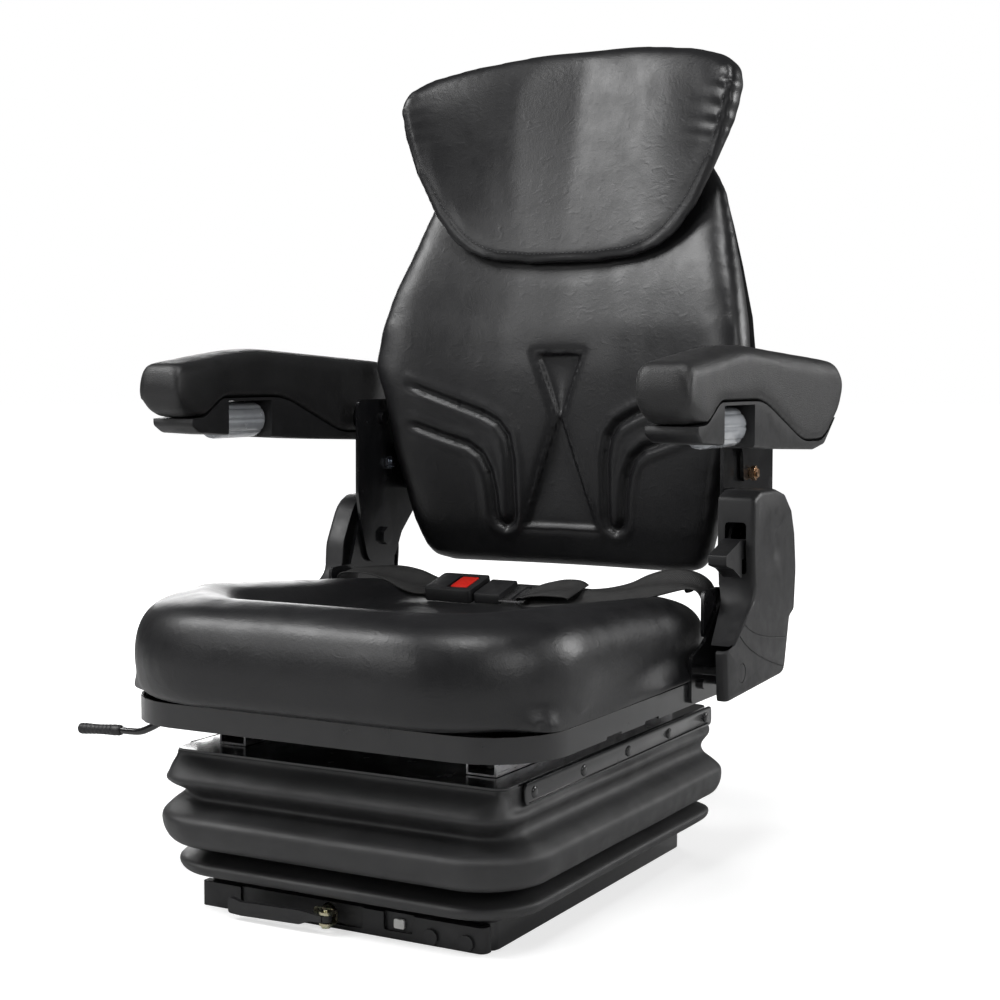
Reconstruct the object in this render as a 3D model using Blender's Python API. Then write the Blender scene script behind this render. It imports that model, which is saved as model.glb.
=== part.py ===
"""Tractor suspension seat: scissor suspension in a bellows, rails, recliner, headrest, armrests, lap belt.

Metres, +Z up. The seat faces -Y and +X is the sitter's left. The origin is the middle of the base's
underside.
"""

import math

import bmesh
import bpy
from mathutils import Matrix, Vector

# Clearances
FIT_GAP = 0.0004  # between pieces that are fixed together
RUN_GAP = 0.0010  # between pieces that move past each other
PIVOT_GAP = 0.0022  # in the pivots that close the scissor's and the damper's loops

# Lower frame and housing
BASE_WIDTH = 0.344
BASE_DEPTH = 0.450
BASE_WALL = 0.0025
BASE_HEIGHT = 0.038
BASE_CORNER = 0.012
HOUSING_DEPTH = 0.012
HOUSING_HEIGHT = 0.026

# Suspension
STROKE = 0.060
UPPER_FRAME_WIDTH = 0.394
UPPER_FRAME_FRONT = -0.248
UPPER_FRAME_REAR = 0.245
UPPER_FRAME_TOP = 0.166
UPPER_FRAME_FLANGE = 0.030
UPPER_FRAME_WALL = 0.0025
ARM_PIVOT_INSET = 0.060  # from the base's ends
LOWER_PIVOT_Z = 0.0155
UPPER_PIVOT_Z = 0.1445
ARM_THICKNESS = 0.004
ARM_HEIGHT = 0.020
OUTER_ARM_X = 0.123
INNER_ARM_X = 0.109
ROLLER_RADIUS = 0.0110
ROLLER_WIDTH = 0.007
AXLE_RADIUS = 0.005
SPRING_RADIUS = 0.024
SPRING_WIRE = 0.0030
SPRING_TURNS = 4.5
SPRING_X = 0.060
SPRING_Y = 0.045
DAMPER_REAR = 0.085
DAMPER_REACH = 0.230
DAMPER_RADIUS = 0.013
DAMPER_ROD_RADIUS = 0.005
DAMPER_EYE = 0.006

# Bellows
BELLOWS_SKIN = 0.0025
BELLOWS_CORNER = 0.034
BELLOWS_BULGE = 0.026

# Trim strips
STRIP_HEIGHT = 0.028
STRIP_THICKNESS = 0.0025
STRIP_FRONT = -0.217
RIVET_RADIUS = 0.0062
RIVET_COUNT = 5

# Slide rails
RAIL_X = 0.150
RAIL_LENGTH = 0.420
RAIL_WIDTH = 0.034
RAIL_WALL = 0.0025
LOWER_RAIL_HEIGHT = 0.018
SLIDE_TRAVEL = 0.075

# Seat pan and cushion
PAN_WIDTH = 0.492
PAN_FRONT = -0.292
PAN_REAR = 0.235
PAN_BOTTOM = 0.197
PAN_HEIGHT = 0.025
PAN_WALL = 0.0025
PAN_CORNER = 0.080
CUSHION_OVERHANG = 0.010  # past the pan, at the front
CUSHION_FRONT = -0.330
CUSHION_REAR = 0.250
CUSHION_REAR_INSET = 0.009  # inside the pan, at the rear
CUSHION_TOP = 0.331
CUSHION_REAR_TOP = 0.300
CUSHION_WELL = 0.284
CUSHION_CORNER = 0.135
CUSHION_ROLL = 0.125  # from the side to the foot of the well

# Recliner
BRACKET_THICKNESS = 0.004
SIDE_PLATE_THICKNESS = 0.004
RECLINER_Y = 0.225
RECLINER_Z = 0.348
RECLINER_BOLT_RADIUS = 0.007
COVER_DEPTH = 0.043  # over the recline lever
PLAIN_COVER_DEPTH = 0.027
COVER_WALL = 0.0025
COVER_LIP = 0.013  # how far the cover's flange reaches inwards at its foot
COVER_SCREW_Y = 0.106
COVER_SCREW_Z = 0.232
ARM_HINGE_Y = 0.223
ARM_HINGE_Z = 0.498
STOP_BOLT_Y = 0.236
STOP_BOLT_Z = 0.441
STOP_BOLT_RADIUS = 0.005
STOP_SLEEVE_RADIUS = 0.007
LEVER_Y = 0.182
LEVER_Z = 0.360
LEVER_PIN_RADIUS = 0.003

# Backrest and headrest
BACK_BOTTOM = 0.317
BACK_TOP = 0.835
BACK_OVERHANG = 0.004  # past the pan
SHELL_DEPTH = 0.030
SHELL_WALL = 0.003
GROOVE_DEPTH = 0.006
HEADREST_WIDTH = 0.454
HEADREST_BOTTOM = 0.686
HEADREST_TOP = 0.955
HEADREST_TRAVEL = 0.070
HEADREST_TILT = 8.0
TONGUE_WIDTH = 0.110
TONGUE_THICKNESS = 0.006
CARRIER_REACH = 0.030

# Armrests
ARMREST_STANDOFF = 0.0276  # from the pan's cheeks
ARMREST_WIDTH = 0.061
ARMREST_FRONT = -0.141
ARMREST_REAR = 0.319
PAD_BASE_Z = 0.5265
WHEEL_RADIUS = 0.0215
WHEEL_LENGTH = 0.080
WHEEL_FRONT = -0.046
WHEEL_Z = 0.5005
SPINDLE_RADIUS = 0.006
BAR_HALF = 0.0075

# Belt
WEBBING_WIDTH = 0.046
WEBBING_THICKNESS = 0.0018
BELT_Y = 0.140
BELT_ARCH = 0.007  # how far the loose webbing stands off the cushion

# Levers
SLIDE_LEVER_Y = -0.175
SLIDE_ROD_RADIUS = 0.004
GRIP_RADIUS = 0.0065
WEIGHT_LEVER_X = -0.012
WEIGHT_LEVER_Z = 0.0165
WINDOW_X = 0.072

ARM_PIVOT_Y = BASE_DEPTH / 2 - ARM_PIVOT_INSET
CUSHION_WIDTH = PAN_WIDTH + 2 * CUSHION_OVERHANG
CUSHION_REAR_WIDTH = PAN_WIDTH - 2 * CUSHION_REAR_INSET
BACK_WIDTH = PAN_WIDTH + 2 * BACK_OVERHANG
PLATE_X = PAN_WIDTH / 2 + FIT_GAP  # inner face of the hinge brackets
ARMREST_INNER = PLATE_X + ARMREST_STANDOFF
BACK_PLATE_X = PLATE_X - RUN_GAP - SIDE_PLATE_THICKNESS  # inner face of the back side plates
FRAME_HALF = UPPER_FRAME_WIDTH / 2


def clear_scene():
    for obj in list(bpy.data.objects):
        bpy.data.objects.remove(obj, do_unlink=True)


def material(name, colour, roughness, metallic=0.0):
    mat = bpy.data.materials.new(name)
    mat.use_nodes = True
    shader = mat.node_tree.nodes["Principled BSDF"]
    shader.inputs["Base Color"].default_value = (*colour, 1.0)
    shader.inputs["Roughness"].default_value = roughness
    shader.inputs["Metallic"].default_value = metallic
    return mat


def as_object(name, bm):
    bmesh.ops.recalc_face_normals(bm, faces=bm.faces)
    mesh = bpy.data.meshes.new(name)
    bm.to_mesh(mesh)
    bm.free()
    obj = bpy.data.objects.new(name, mesh)
    bpy.context.scene.collection.objects.link(obj)
    return obj


def loft(rings, closed=False):
    """A solid through loops with equal point counts. It ends in flat caps, or joins last to first."""
    bm = bmesh.new()
    loops = [[bm.verts.new(point) for point in ring] for ring in rings]
    pairs = list(zip(loops, loops[1:]))
    if closed:
        pairs.append((loops[-1], loops[0]))
    else:
        bm.faces.new(loops[0])
        bm.faces.new(loops[-1])
    for low, high in pairs:
        for i in range(len(low)):
            j = (i + 1) % len(low)
            bm.faces.new((low[i], low[j], high[j], high[i]))
    return as_object("solid", bm)


def prism(outline, axis, low, high):
    """An outline extruded along an axis. It is (y, z) along X, (x, z) along Y and (x, y) along Z."""
    place = {
        "X": lambda a, b, c: (c, a, b),
        "Y": lambda a, b, c: (a, c, b),
        "Z": lambda a, b, c: (a, b, c),
    }[axis]
    return loft([[place(a, b, c) for a, b in outline] for c in (low, high)])


def box(x0, x1, y0, y1, z0, z1):
    return prism([(x0, y0), (x1, y0), (x1, y1), (x0, y1)], "Z", z0, z1)


def rounded(corners, steps=4):
    """The outline of a polygon whose corners are (a, b, radius), each turned into an arc."""
    outline = []
    for i, (a, b, radius) in enumerate(corners):
        here = Vector((a, b))
        back = (Vector(corners[i - 1][:2]) - here).normalized()
        ahead = (Vector(corners[(i + 1) % len(corners)][:2]) - here).normalized()
        angle = back.angle(ahead)
        if radius == 0 or angle > math.radians(178):
            outline.append((a, b))
            continue
        cut = radius / math.tan(angle / 2)
        centre = here + (back + ahead).normalized() * (radius / math.sin(angle / 2))
        first = here + back * cut - centre
        last = here + ahead * cut - centre
        turn = first.angle_signed(last)
        for step in range(steps + 1):
            spin = Matrix.Rotation(-turn * step / steps, 2)
            outline.append(tuple(centre + spin @ first))
    return outline


def rounded_box(x0, x1, y0, y1, z0, z1, radius, axis="Z", steps=2):
    spans = {"Z": (x0, x1, y0, y1), "X": (y0, y1, z0, z1), "Y": (x0, x1, z0, z1)}
    a0, a1, b0, b1 = spans[axis]
    low, high = {"Z": (z0, z1), "X": (x0, x1), "Y": (y0, y1)}[axis]
    corners = [(a0, b0, radius), (a1, b0, radius), (a1, b1, radius), (a0, b1, radius)]
    return prism(rounded(corners, steps), axis, low, high)


def circle(centre, direction, radius, segments):
    turn = Vector((0, 0, 1)).rotation_difference(Vector(direction).normalized())
    return [
        Vector(centre)
        + turn @ Vector((radius * math.cos(angle), radius * math.sin(angle), 0))
        for angle in (2 * math.pi * i / segments for i in range(segments))
    ]


def revolved(start, end, profile, segments=14):
    """A turned piece along start to end. The profile is (share of the length, radius)."""
    start, end = Vector(start), Vector(end)
    rings = [circle(start.lerp(end, share), end - start, radius, segments) for share, radius in profile]
    return loft(rings)


def rod(start, end, radius, segments=12):
    return revolved(start, end, [(0, radius), (1, radius)], segments)


def bolt(start, end, shank, head, head_height, segments=12):
    """A shank from start to end with a hexagon head beyond start."""
    start, end = Vector(start), Vector(end)
    out = (start - end).normalized()
    return [rod(start, start + out * head_height, head, 6), rod(start + out * 0.001, end, shank, segments)]


def fuse(name, mat, solids, cutters=(), origin=(0, 0, 0), smooth=30):
    """One closed body made of the solids joined, less the cutters, with its origin placed."""
    groups = []
    for operation, pieces in (("UNION", solids[1:]), ("DIFFERENCE", cutters)):
        if not pieces:
            continue
        group = bpy.data.collections.new("group")
        bpy.context.scene.collection.children.link(group)
        for piece in pieces:
            group.objects.link(piece)
        modifier = solids[0].modifiers.new(operation, "BOOLEAN")
        modifier.operation = operation
        modifier.operand_type = "COLLECTION"
        modifier.collection = group
        modifier.solver = "EXACT"
        modifier.use_self = False
        groups.append(group)
    bpy.context.view_layer.update()
    graph = bpy.context.evaluated_depsgraph_get()
    mesh = bpy.data.meshes.new_from_object(solids[0].evaluated_get(graph))
    for piece in [*solids, *cutters]:
        bpy.data.objects.remove(piece, do_unlink=True)
    for group in groups:
        bpy.data.collections.remove(group)
    mesh.name = name
    mesh.transform(Matrix.Translation(-Vector(origin)))
    mesh.materials.clear()
    mesh.materials.append(mat)
    mesh.shade_smooth()
    mesh.set_sharp_from_angle(angle=math.radians(smooth))
    node = bpy.data.objects.new(name, mesh)
    node.location = origin
    bpy.context.scene.collection.objects.link(node)
    return node


def between(table, value):
    """Straight-line reading of a table of (key, reading) pairs."""
    for (low, first), (high, second) in zip(table, table[1:]):
        if value <= high:
            share = max(0.0, (value - low) / (high - low))
            return first + (second - first) * share
    return table[-1][1]


def eased(low, high, value):
    share = min(1.0, max(0.0, (value - low) / (high - low)))
    return share * share * (3 - 2 * share)


def plan_ring(half_width, front, rear, radius, z, count=3):
    corners = [
        (-half_width, front, radius),
        (half_width, front, radius),
        (half_width, rear, radius),
        (-half_width, rear, radius),
    ]
    return [Vector((x, y, z)) for x, y in rounded(corners, count)]


# Suspension


def lower_frame(steel):
    half_x, half_y = BASE_WIDTH / 2, BASE_DEPTH / 2
    tray = rounded_box(-half_x, half_x, -half_y, half_y, 0, BASE_HEIGHT, BASE_CORNER, "Z", 3)
    inside = rounded_box(
        -half_x + BASE_WALL,
        half_x - BASE_WALL,
        -half_y + BASE_WALL,
        half_y - BASE_WALL,
        BASE_WALL,
        BASE_HEIGHT + 0.01,
        BASE_CORNER - BASE_WALL,
    )
    solids = [fuse("frame_shell", steel, [tray], [inside])]
    roller_front = -ARM_PIVOT_Y - 0.035
    for side in (-1, 1):
        # channel that the lower rollers run in, open towards the middle
        web = INNER_ARM_X + ARM_THICKNESS + ROLLER_WIDTH + 3 * RUN_GAP
        ceiling = LOWER_PIVOT_Z + ROLLER_RADIUS + RUN_GAP
        outline = [
            (side * web, BASE_WALL - 0.0005),
            (side * (web + BASE_WALL), BASE_WALL - 0.0005),
            (side * (web + BASE_WALL), ceiling + BASE_WALL),
            (side * (web - ROLLER_WIDTH), ceiling + BASE_WALL),
            (side * (web - ROLLER_WIDTH), ceiling),
            (side * web, ceiling),
        ]
        solids.append(prism(outline, "Y", roller_front, roller_front + 0.075))
        # lug for the rear pivot of the outer arms
        lug_x = side * (OUTER_ARM_X + ARM_THICKNESS + RUN_GAP)
        lug = rounded(
            [
                (ARM_PIVOT_Y - 0.018, BASE_WALL - 0.0005, 0),
                (ARM_PIVOT_Y + 0.018, BASE_WALL - 0.0005, 0),
                (ARM_PIVOT_Y + 0.011, LOWER_PIVOT_Z + 0.011, 0.008),
                (ARM_PIVOT_Y - 0.011, LOWER_PIVOT_Z + 0.011, 0.008),
            ]
        )
        solids.append(prism(lug, "X", min(lug_x, lug_x + side * 0.004), max(lug_x, lug_x + side * 0.004)))
        # spring seat
        solids.append(
            revolved(
                (side * SPRING_X, SPRING_Y, BASE_WALL - 0.0005),
                (side * SPRING_X, SPRING_Y, 0.012),
                [(0, SPRING_RADIUS - SPRING_WIRE - RUN_GAP), (1, SPRING_RADIUS - SPRING_WIRE - 2 * RUN_GAP)],
            )
        )
    # damper lug in the middle
    damper_y, damper_z, _, _ = damper_line()
    for side in (-1, 1):
        outline = rounded(
            [
                (damper_y - 0.012, BASE_WALL - 0.0005, 0),
                (damper_y + 0.012, BASE_WALL - 0.0005, 0),
                (damper_y + 0.009, damper_z + 0.009, 0.007),
                (damper_y - 0.009, damper_z + 0.009, 0.007),
            ]
        )
        inner = DAMPER_RADIUS + RUN_GAP
        solids.append(prism(outline, "X", *sorted((side * inner, side * (inner + 0.003)))))
    reach = DAMPER_RADIUS + RUN_GAP + 0.002
    solids.append(rod((-reach, damper_y, damper_z), (reach, damper_y, damper_z), DAMPER_EYE - 0.0025, 12))
    far = OUTER_ARM_X + ARM_THICKNESS + 0.030
    ends = [(x, ARM_PIVOT_Y, LOWER_PIVOT_Z) for x in (-far, far)]
    cutters = [rod(*ends, AXLE_RADIUS + FIT_GAP)]
    # mounting slots near the corners
    for x in (-half_x + 0.077, half_x - 0.077):
        for y in (-half_y + 0.095, half_y - 0.025):
            cutters.append(rounded_box(x - 0.0055, x + 0.0055, y - 0.012, y + 0.012, -0.01, 0.01, 0.005))
    fuse("lower_frame", steel, solids, cutters)


def front_housing(plastic):
    front = -BASE_DEPTH / 2 - FIT_GAP - HOUSING_DEPTH
    rear = -BASE_DEPTH / 2 - FIT_GAP
    half = BASE_WIDTH / 2 - 0.002
    outline = rounded(
        [
            (-half, front, 0.004),
            (half, front, 0.008),
            (half, rear, 0),
            (-half, rear, 0),
        ]
    )
    body = prism(outline, "Z", FIT_GAP, HOUSING_HEIGHT)
    window = WINDOW_X
    cutters = [
        rounded_box(window - 0.017, window + 0.017, front - 0.01, front + 0.004, 0.008, 0.030, 0.003, "Y"),
        rounded_box(-half + 0.050, half - 0.140, front - 0.01, front + 0.003, 0.005, 0.030, 0.003, "Y"),
        rod(*[(WEIGHT_LEVER_X, y, WEIGHT_LEVER_Z) for y in (front - 0.02, rear + 0.01)], 0.0085),
    ]
    # round feet of the moulding
    feet = []
    for x in (half - 0.060, half - 0.020):
        feet.append(rod((x, front - 0.003, 0.0095), (x, rear - 0.002, 0.0095), 0.008))
    fuse("front_housing", plastic, [body, *feet], cutters)


def weight_window(white):
    front = -BASE_DEPTH / 2 - FIT_GAP - HOUSING_DEPTH
    low, high = WINDOW_X - 0.006, WINDOW_X + 0.006
    tag = rounded_box(low, high, front + 0.001, front + 0.004 - FIT_GAP, 0.011, 0.0205, 0.0015, "Y")
    fuse("weight_window", white, [tag])


def weight_adjuster(zinc, plastic):
    front = -BASE_DEPTH / 2 - FIT_GAP - HOUSING_DEPTH
    pin_y = front - 0.020
    pin_x = WEIGHT_LEVER_X + 0.012
    spindle = revolved(
        (WEIGHT_LEVER_X, -BASE_DEPTH / 2 - 2 * FIT_GAP, WEIGHT_LEVER_Z),
        (WEIGHT_LEVER_X, pin_y + 0.009, WEIGHT_LEVER_Z),
        [(0, 0.0070), (1, 0.0070)],
    )
    ear = rounded_box(pin_x - 0.006, pin_x + 0.007, pin_y - 0.006, pin_y + 0.0115, 0.0207, 0.0235, 0.004)
    low_ear = rounded_box(pin_x - 0.006, pin_x + 0.007, pin_y - 0.006, pin_y + 0.0115, 0.0095, 0.0123, 0.004)
    pin = revolved(
        (pin_x, pin_y, 0.0070),
        (pin_x, pin_y, 0.0255),
        [(0, 0.0045), (0.1, 0.0045), (0.1, 0.0025), (1, 0.0025)],
        12,
    )
    left, right = pin_x - 0.020, pin_x + 0.0065
    back = rounded_box(left, right, pin_y + 0.0078, pin_y + 0.0113, 0.0093, 0.0237, 0.002, "Y")
    fuse(
        "weight_yoke",
        zinc,
        [spindle, ear, low_ear, back, pin],
        origin=(WEIGHT_LEVER_X, pin_y, WEIGHT_LEVER_Z),
    )
    eye = revolved((pin_x, pin_y, 0.0132), (pin_x, pin_y, 0.0198), [(0, 0.0062), (1, 0.0062)])
    arm_back = pin_y - 0.0020
    arm = prism(
        rounded(
            [
                (pin_x - 0.001, 0.0133, 0.001),
                (pin_x - 0.001, 0.0197, 0.001),
                (pin_x - 0.028, 0.0220, 0.003),
                (pin_x - 0.100, 0.0200, 0.004),
                (pin_x - 0.116, 0.0240, 0.003),
                (pin_x - 0.116, 0.0070, 0.003),
                (pin_x - 0.100, 0.0060, 0.004),
                (pin_x - 0.028, 0.0080, 0.003),
                (pin_x - 0.014, 0.0132, 0.002),
            ],
            2,
        ),
        "Y",
        arm_back - 0.005,
        arm_back,
    )
    hole = rod((pin_x, pin_y, 0), (pin_x, pin_y, 0.03), 0.0025 + RUN_GAP / 2, 12)
    fuse("weight_lever", plastic, [arm, eye], [hole], origin=(pin_x, pin_y, WEIGHT_LEVER_Z))


def arm_plate(x, thickness, start, end, height):
    """A flat link with round ends from start to end, both (y, z)."""
    start, end = Vector(start), Vector(end)
    along = (end - start).normalized()
    across = Vector((-along.y, along.x)) * height / 2
    outline = []
    for centre, sign in ((end, 1), (start, -1)):
        for step in range(7):
            angle = math.pi / 2 - math.pi * step / 6
            spoke = along * math.cos(angle) * height / 2 + across * math.sin(angle)
            outline.append(tuple(centre + sign * spoke))
    return prism(outline, "X", x, x + thickness)


def scissor(steel):
    low_rear = (ARM_PIVOT_Y, LOWER_PIVOT_Z)
    high_front = (-ARM_PIVOT_Y, UPPER_PIVOT_Z)
    high_rear = (ARM_PIVOT_Y, UPPER_PIVOT_Z)
    low_front = (-ARM_PIVOT_Y, LOWER_PIVOT_Z)
    middle = ((LOWER_PIVOT_Z + UPPER_PIVOT_Z) / 2)
    for name, plate_x, start, end in (
        ("outer_arms", OUTER_ARM_X, low_rear, high_front),
        ("inner_arms", INNER_ARM_X, high_rear, low_front),
    ):
        solids = []
        for x in (plate_x, -plate_x - ARM_THICKNESS):
            solids.append(arm_plate(x, ARM_THICKNESS, start, end, ARM_HEIGHT))
        # cross tube near the fixed pivot
        tube_y = start[0] + (end[0] - start[0]) * 0.17
        tube_z = start[1] + (end[1] - start[1]) * 0.17
        reach = plate_x + 0.001
        solids.append(rod((-reach, tube_y, tube_z), (reach, tube_y, tube_z), 0.007))
        cutters = []
        far = plate_x + 0.02
        for y, z in (start, end):
            cutters.append(rod((-far, y, z), (far, y, z), AXLE_RADIUS + RUN_GAP / 2))
        if name == "outer_arms":
            cutters.append(rod((-far, 0, middle), (far, 0, middle), AXLE_RADIUS + PIVOT_GAP / 2))
        else:
            pin = OUTER_ARM_X + ARM_THICKNESS + 0.003
            for side in (-1, 1):
                root = (side * (plate_x + 0.001), 0, middle)
                solids.append(rod(root, (side * pin, 0, middle), AXLE_RADIUS))
        fuse(name, steel, solids, cutters, origin=(0, *start))


def axle_with_rollers(name, steel, y, z, roller_x, end_x):
    solids = [rod((-end_x, y, z), (end_x, y, z), AXLE_RADIUS)]
    for side in (-1, 1):
        low, high = sorted((side * roller_x, side * (roller_x + ROLLER_WIDTH)))
        solids.append(revolved((low, y, z), (high, y, z), [(0, ROLLER_RADIUS), (1, ROLLER_RADIUS)], 16))
    fuse(name, steel, solids, origin=(0, y, z))


def pivot_rod(name, steel, y, z, half_length):
    """A pivot rod with a flat head at each end."""
    head = 0.002
    long = half_length + head
    profile = [(0, AXLE_RADIUS + 0.002), (head / (2 * long), AXLE_RADIUS + 0.002)]
    profile.append((head / (2 * long), AXLE_RADIUS))
    whole = profile + [(1 - share, radius) for share, radius in reversed(profile)]
    fuse(name, steel, [revolved((-long, y, z), (long, y, z), whole, 16)], origin=(0, y, z))


def spring(name, steel, x):
    """A compression spring with a flat coil at each end."""
    low = BASE_WALL + FIT_GAP + SPRING_WIRE
    high = UPPER_FRAME_TOP - UPPER_FRAME_WALL - FIT_GAP - SPRING_WIRE
    per_turn = 10
    count = int(SPRING_TURNS * per_turn)
    rings = []
    for i in range(count + 1):
        share = i / count
        angle = 2 * math.pi * SPRING_TURNS * share
        rise = eased(0.10, 0.90, share) * 0.25 + 0.75 * min(1.0, max(0.0, (share - 0.10) / 0.80))
        centre = Vector((x + SPRING_RADIUS * math.cos(angle), SPRING_Y + SPRING_RADIUS * math.sin(angle), 0))
        centre.z = low + (high - low) * rise
        out = Vector((math.cos(angle), math.sin(angle), 0))
        up = Vector((0, 0, 1))
        rings.append(
            [
                centre + (out * math.cos(turn) + up * math.sin(turn)) * SPRING_WIRE
                for turn in (2 * math.pi * k / 5 for k in range(5))
            ]
        )
    fuse(name, steel, [loft(rings)], smooth=60)


def damper_line():
    """The damper's lower and upper eye: y and z of each."""
    low_y, high_y = DAMPER_REAR, DAMPER_REAR - DAMPER_REACH
    return low_y, 0.0200, high_y, UPPER_FRAME_TOP - 0.026


def damper(dark, steel):
    low_y, low_z, high_y, high_z = damper_line()
    low, high = Vector((0, low_y, low_z)), Vector((0, high_y, high_z))
    along = (high - low).normalized()
    body_start = low + along * (DAMPER_EYE + 0.001)
    body_end = low + along * 0.135
    width = DAMPER_RADIUS - 0.001
    tube = revolved(body_start, body_end, [(0, 0.009), (0.06, width), (0.94, width), (1, 0.009)])
    eye = rod((-width, low_y, low_z), (width, low_y, low_z), DAMPER_EYE + 0.002)
    bore = [
        rod((-0.02, low_y, low_z), (0.02, low_y, low_z), DAMPER_EYE - 0.0025 + RUN_GAP / 2),
        rod(low + along * 0.030, body_end + along * 0.01, DAMPER_ROD_RADIUS + RUN_GAP / 2),
    ]
    fuse("damper_tube", dark, [tube, eye], bore, origin=tuple(low))
    piston = rod(low + along * 0.060, high - along * (DAMPER_EYE + 0.002), DAMPER_ROD_RADIUS, 14)
    width = 0.009
    eye = rod((-width, high_y, high_z), (width, high_y, high_z), DAMPER_EYE + 0.0045)
    hole = rod((-0.02, high_y, high_z), (0.02, high_y, high_z), DAMPER_EYE - 0.0025 + PIVOT_GAP)
    fuse("damper_rod", steel, [piston, eye], [hole], origin=tuple(high))


def upper_frame(steel):
    wall, top = UPPER_FRAME_WALL, UPPER_FRAME_TOP
    low = top - UPPER_FRAME_FLANGE
    front, rear = UPPER_FRAME_FRONT, UPPER_FRAME_REAR
    body = rounded_box(-FRAME_HALF, FRAME_HALF, front, rear, low, top, BASE_CORNER, "Z", 3)
    inside = rounded_box(
        -FRAME_HALF + wall,
        FRAME_HALF - wall,
        UPPER_FRAME_FRONT + wall,
        UPPER_FRAME_REAR - wall,
        low - 0.01,
        top - wall,
        BASE_CORNER - wall,
    )
    solids = [fuse("frame_cap", steel, [body], [inside])]
    outer = OUTER_ARM_X + ARM_THICKNESS
    web = outer + ROLLER_WIDTH + 3 * RUN_GAP
    floor = UPPER_PIVOT_Z - ROLLER_RADIUS - RUN_GAP
    lip = top - wall + 0.0005
    for side in (-1, 1):
        outline = [
            (side * web, lip),
            (side * (web + wall), lip),
            (side * (web + wall), floor - wall),
            (side * (web - ROLLER_WIDTH), floor - wall),
            (side * (web - ROLLER_WIDTH), floor),
            (side * web, floor),
        ]
        solids.append(prism(outline, "Y", -ARM_PIVOT_Y - 0.035, -ARM_PIVOT_Y + 0.040))
        ear_x = side * (INNER_ARM_X + ARM_THICKNESS + RUN_GAP)
        ear = rounded(
            [
                (ARM_PIVOT_Y - 0.020, lip, 0),
                (ARM_PIVOT_Y + 0.020, lip, 0),
                (ARM_PIVOT_Y + 0.011, UPPER_PIVOT_Z - 0.011, 0.008),
                (ARM_PIVOT_Y - 0.011, UPPER_PIVOT_Z - 0.011, 0.008),
            ]
        )
        solids.append(prism(ear, "X", *sorted((ear_x, ear_x + side * 0.004))))
    _, _, high_y, high_z = damper_line()
    for side in (-1, 1):
        outline = rounded(
            [
                (high_y - 0.014, lip, 0),
                (high_y + 0.014, lip, 0),
                (high_y + 0.008, high_z - 0.008, 0.006),
                (high_y - 0.008, high_z - 0.008, 0.006),
            ]
        )
        solids.append(prism(outline, "X", *sorted((side * 0.0105, side * 0.0135))))
    solids.append(rod((-0.012, high_y, high_z), (0.012, high_y, high_z), DAMPER_EYE - 0.0025, 12))
    far = INNER_ARM_X + ARM_THICKNESS + 0.030
    cutters = [
        rod((-far, ARM_PIVOT_Y, UPPER_PIVOT_Z), (far, ARM_PIVOT_Y, UPPER_PIVOT_Z), AXLE_RADIUS + FIT_GAP),
        rounded_box(-0.085, 0.085, -0.085, 0.005, low, top + 0.01, 0.012),
    ]
    fuse("upper_frame", steel, solids, cutters)


def bellows(rubber):
    """Three folds that hang from the upper frame's flange and close round the lower frame's walls."""
    base_x, base_y = BASE_WIDTH / 2 + FIT_GAP, BASE_DEPTH / 2 + FIT_GAP
    top_x = FRAME_HALF + FIT_GAP
    top_front, top_rear = UPPER_FRAME_FRONT - FIT_GAP, UPPER_FRAME_REAR + FIT_GAP
    rest = UPPER_FRAME_TOP - BASE_HEIGHT
    fold = BELLOWS_BULGE
    skin = BELLOWS_SKIN
    # height, then the outward bulge from the straight line between the two collars
    profile = [
        (BASE_HEIGHT - 0.011, 0.0),
        (BASE_HEIGHT - 0.003, 0.0),
        (BASE_HEIGHT, 1.10 * fold),
        (BASE_HEIGHT + 0.045 * rest, 1.48 * fold),
        (BASE_HEIGHT + 0.110 * rest, 1.30 * fold),
        (BASE_HEIGHT + 0.175 * rest, 0.25 * fold),
        (BASE_HEIGHT + 0.235 * rest, 1.25 * fold),
        (BASE_HEIGHT + 0.290 * rest, 1.55 * fold),
        (BASE_HEIGHT + 0.420 * rest, 1.50 * fold),
        (BASE_HEIGHT + 0.480 * rest, 1.05 * fold),
        (BASE_HEIGHT + 0.560 * rest, -0.05 * fold),
        (BASE_HEIGHT + 0.630 * rest, 0.05 * fold),
        (BASE_HEIGHT + 0.710 * rest, 0.62 * fold),
        (BASE_HEIGHT + 0.755 * rest, 0.76 * fold),
        (BASE_HEIGHT + 0.810 * rest, 0.60 * fold),
        (UPPER_FRAME_TOP - STRIP_HEIGHT + 0.001, 0.30 * fold),
        (UPPER_FRAME_TOP - STRIP_HEIGHT + 0.006, 0.0),
        (UPPER_FRAME_TOP - 0.002, 0.0),
    ]
    low, high = BASE_HEIGHT, UPPER_FRAME_TOP - STRIP_HEIGHT
    rings = []
    for thickness, points in ((skin, profile), (0.0, profile[::-1])):
        for z, bulge in points:
            share = min(1.0, max(0.0, (z - low) / (high - low)))
            out = bulge + thickness
            rings.append(
                plan_ring(
                    base_x + (top_x - base_x) * share + out,
                    -base_y + (top_front + base_y) * share - out,
                    base_y + (top_rear - base_y) * share + bulge * 0.75 + thickness,
                    BELLOWS_CORNER + out / 2 if 0 < share < 1 else BASE_CORNER + FIT_GAP + out,
                    z,
                )
            )
    fuse("bellows", rubber, [loft(rings, closed=True)], smooth=50)


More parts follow.
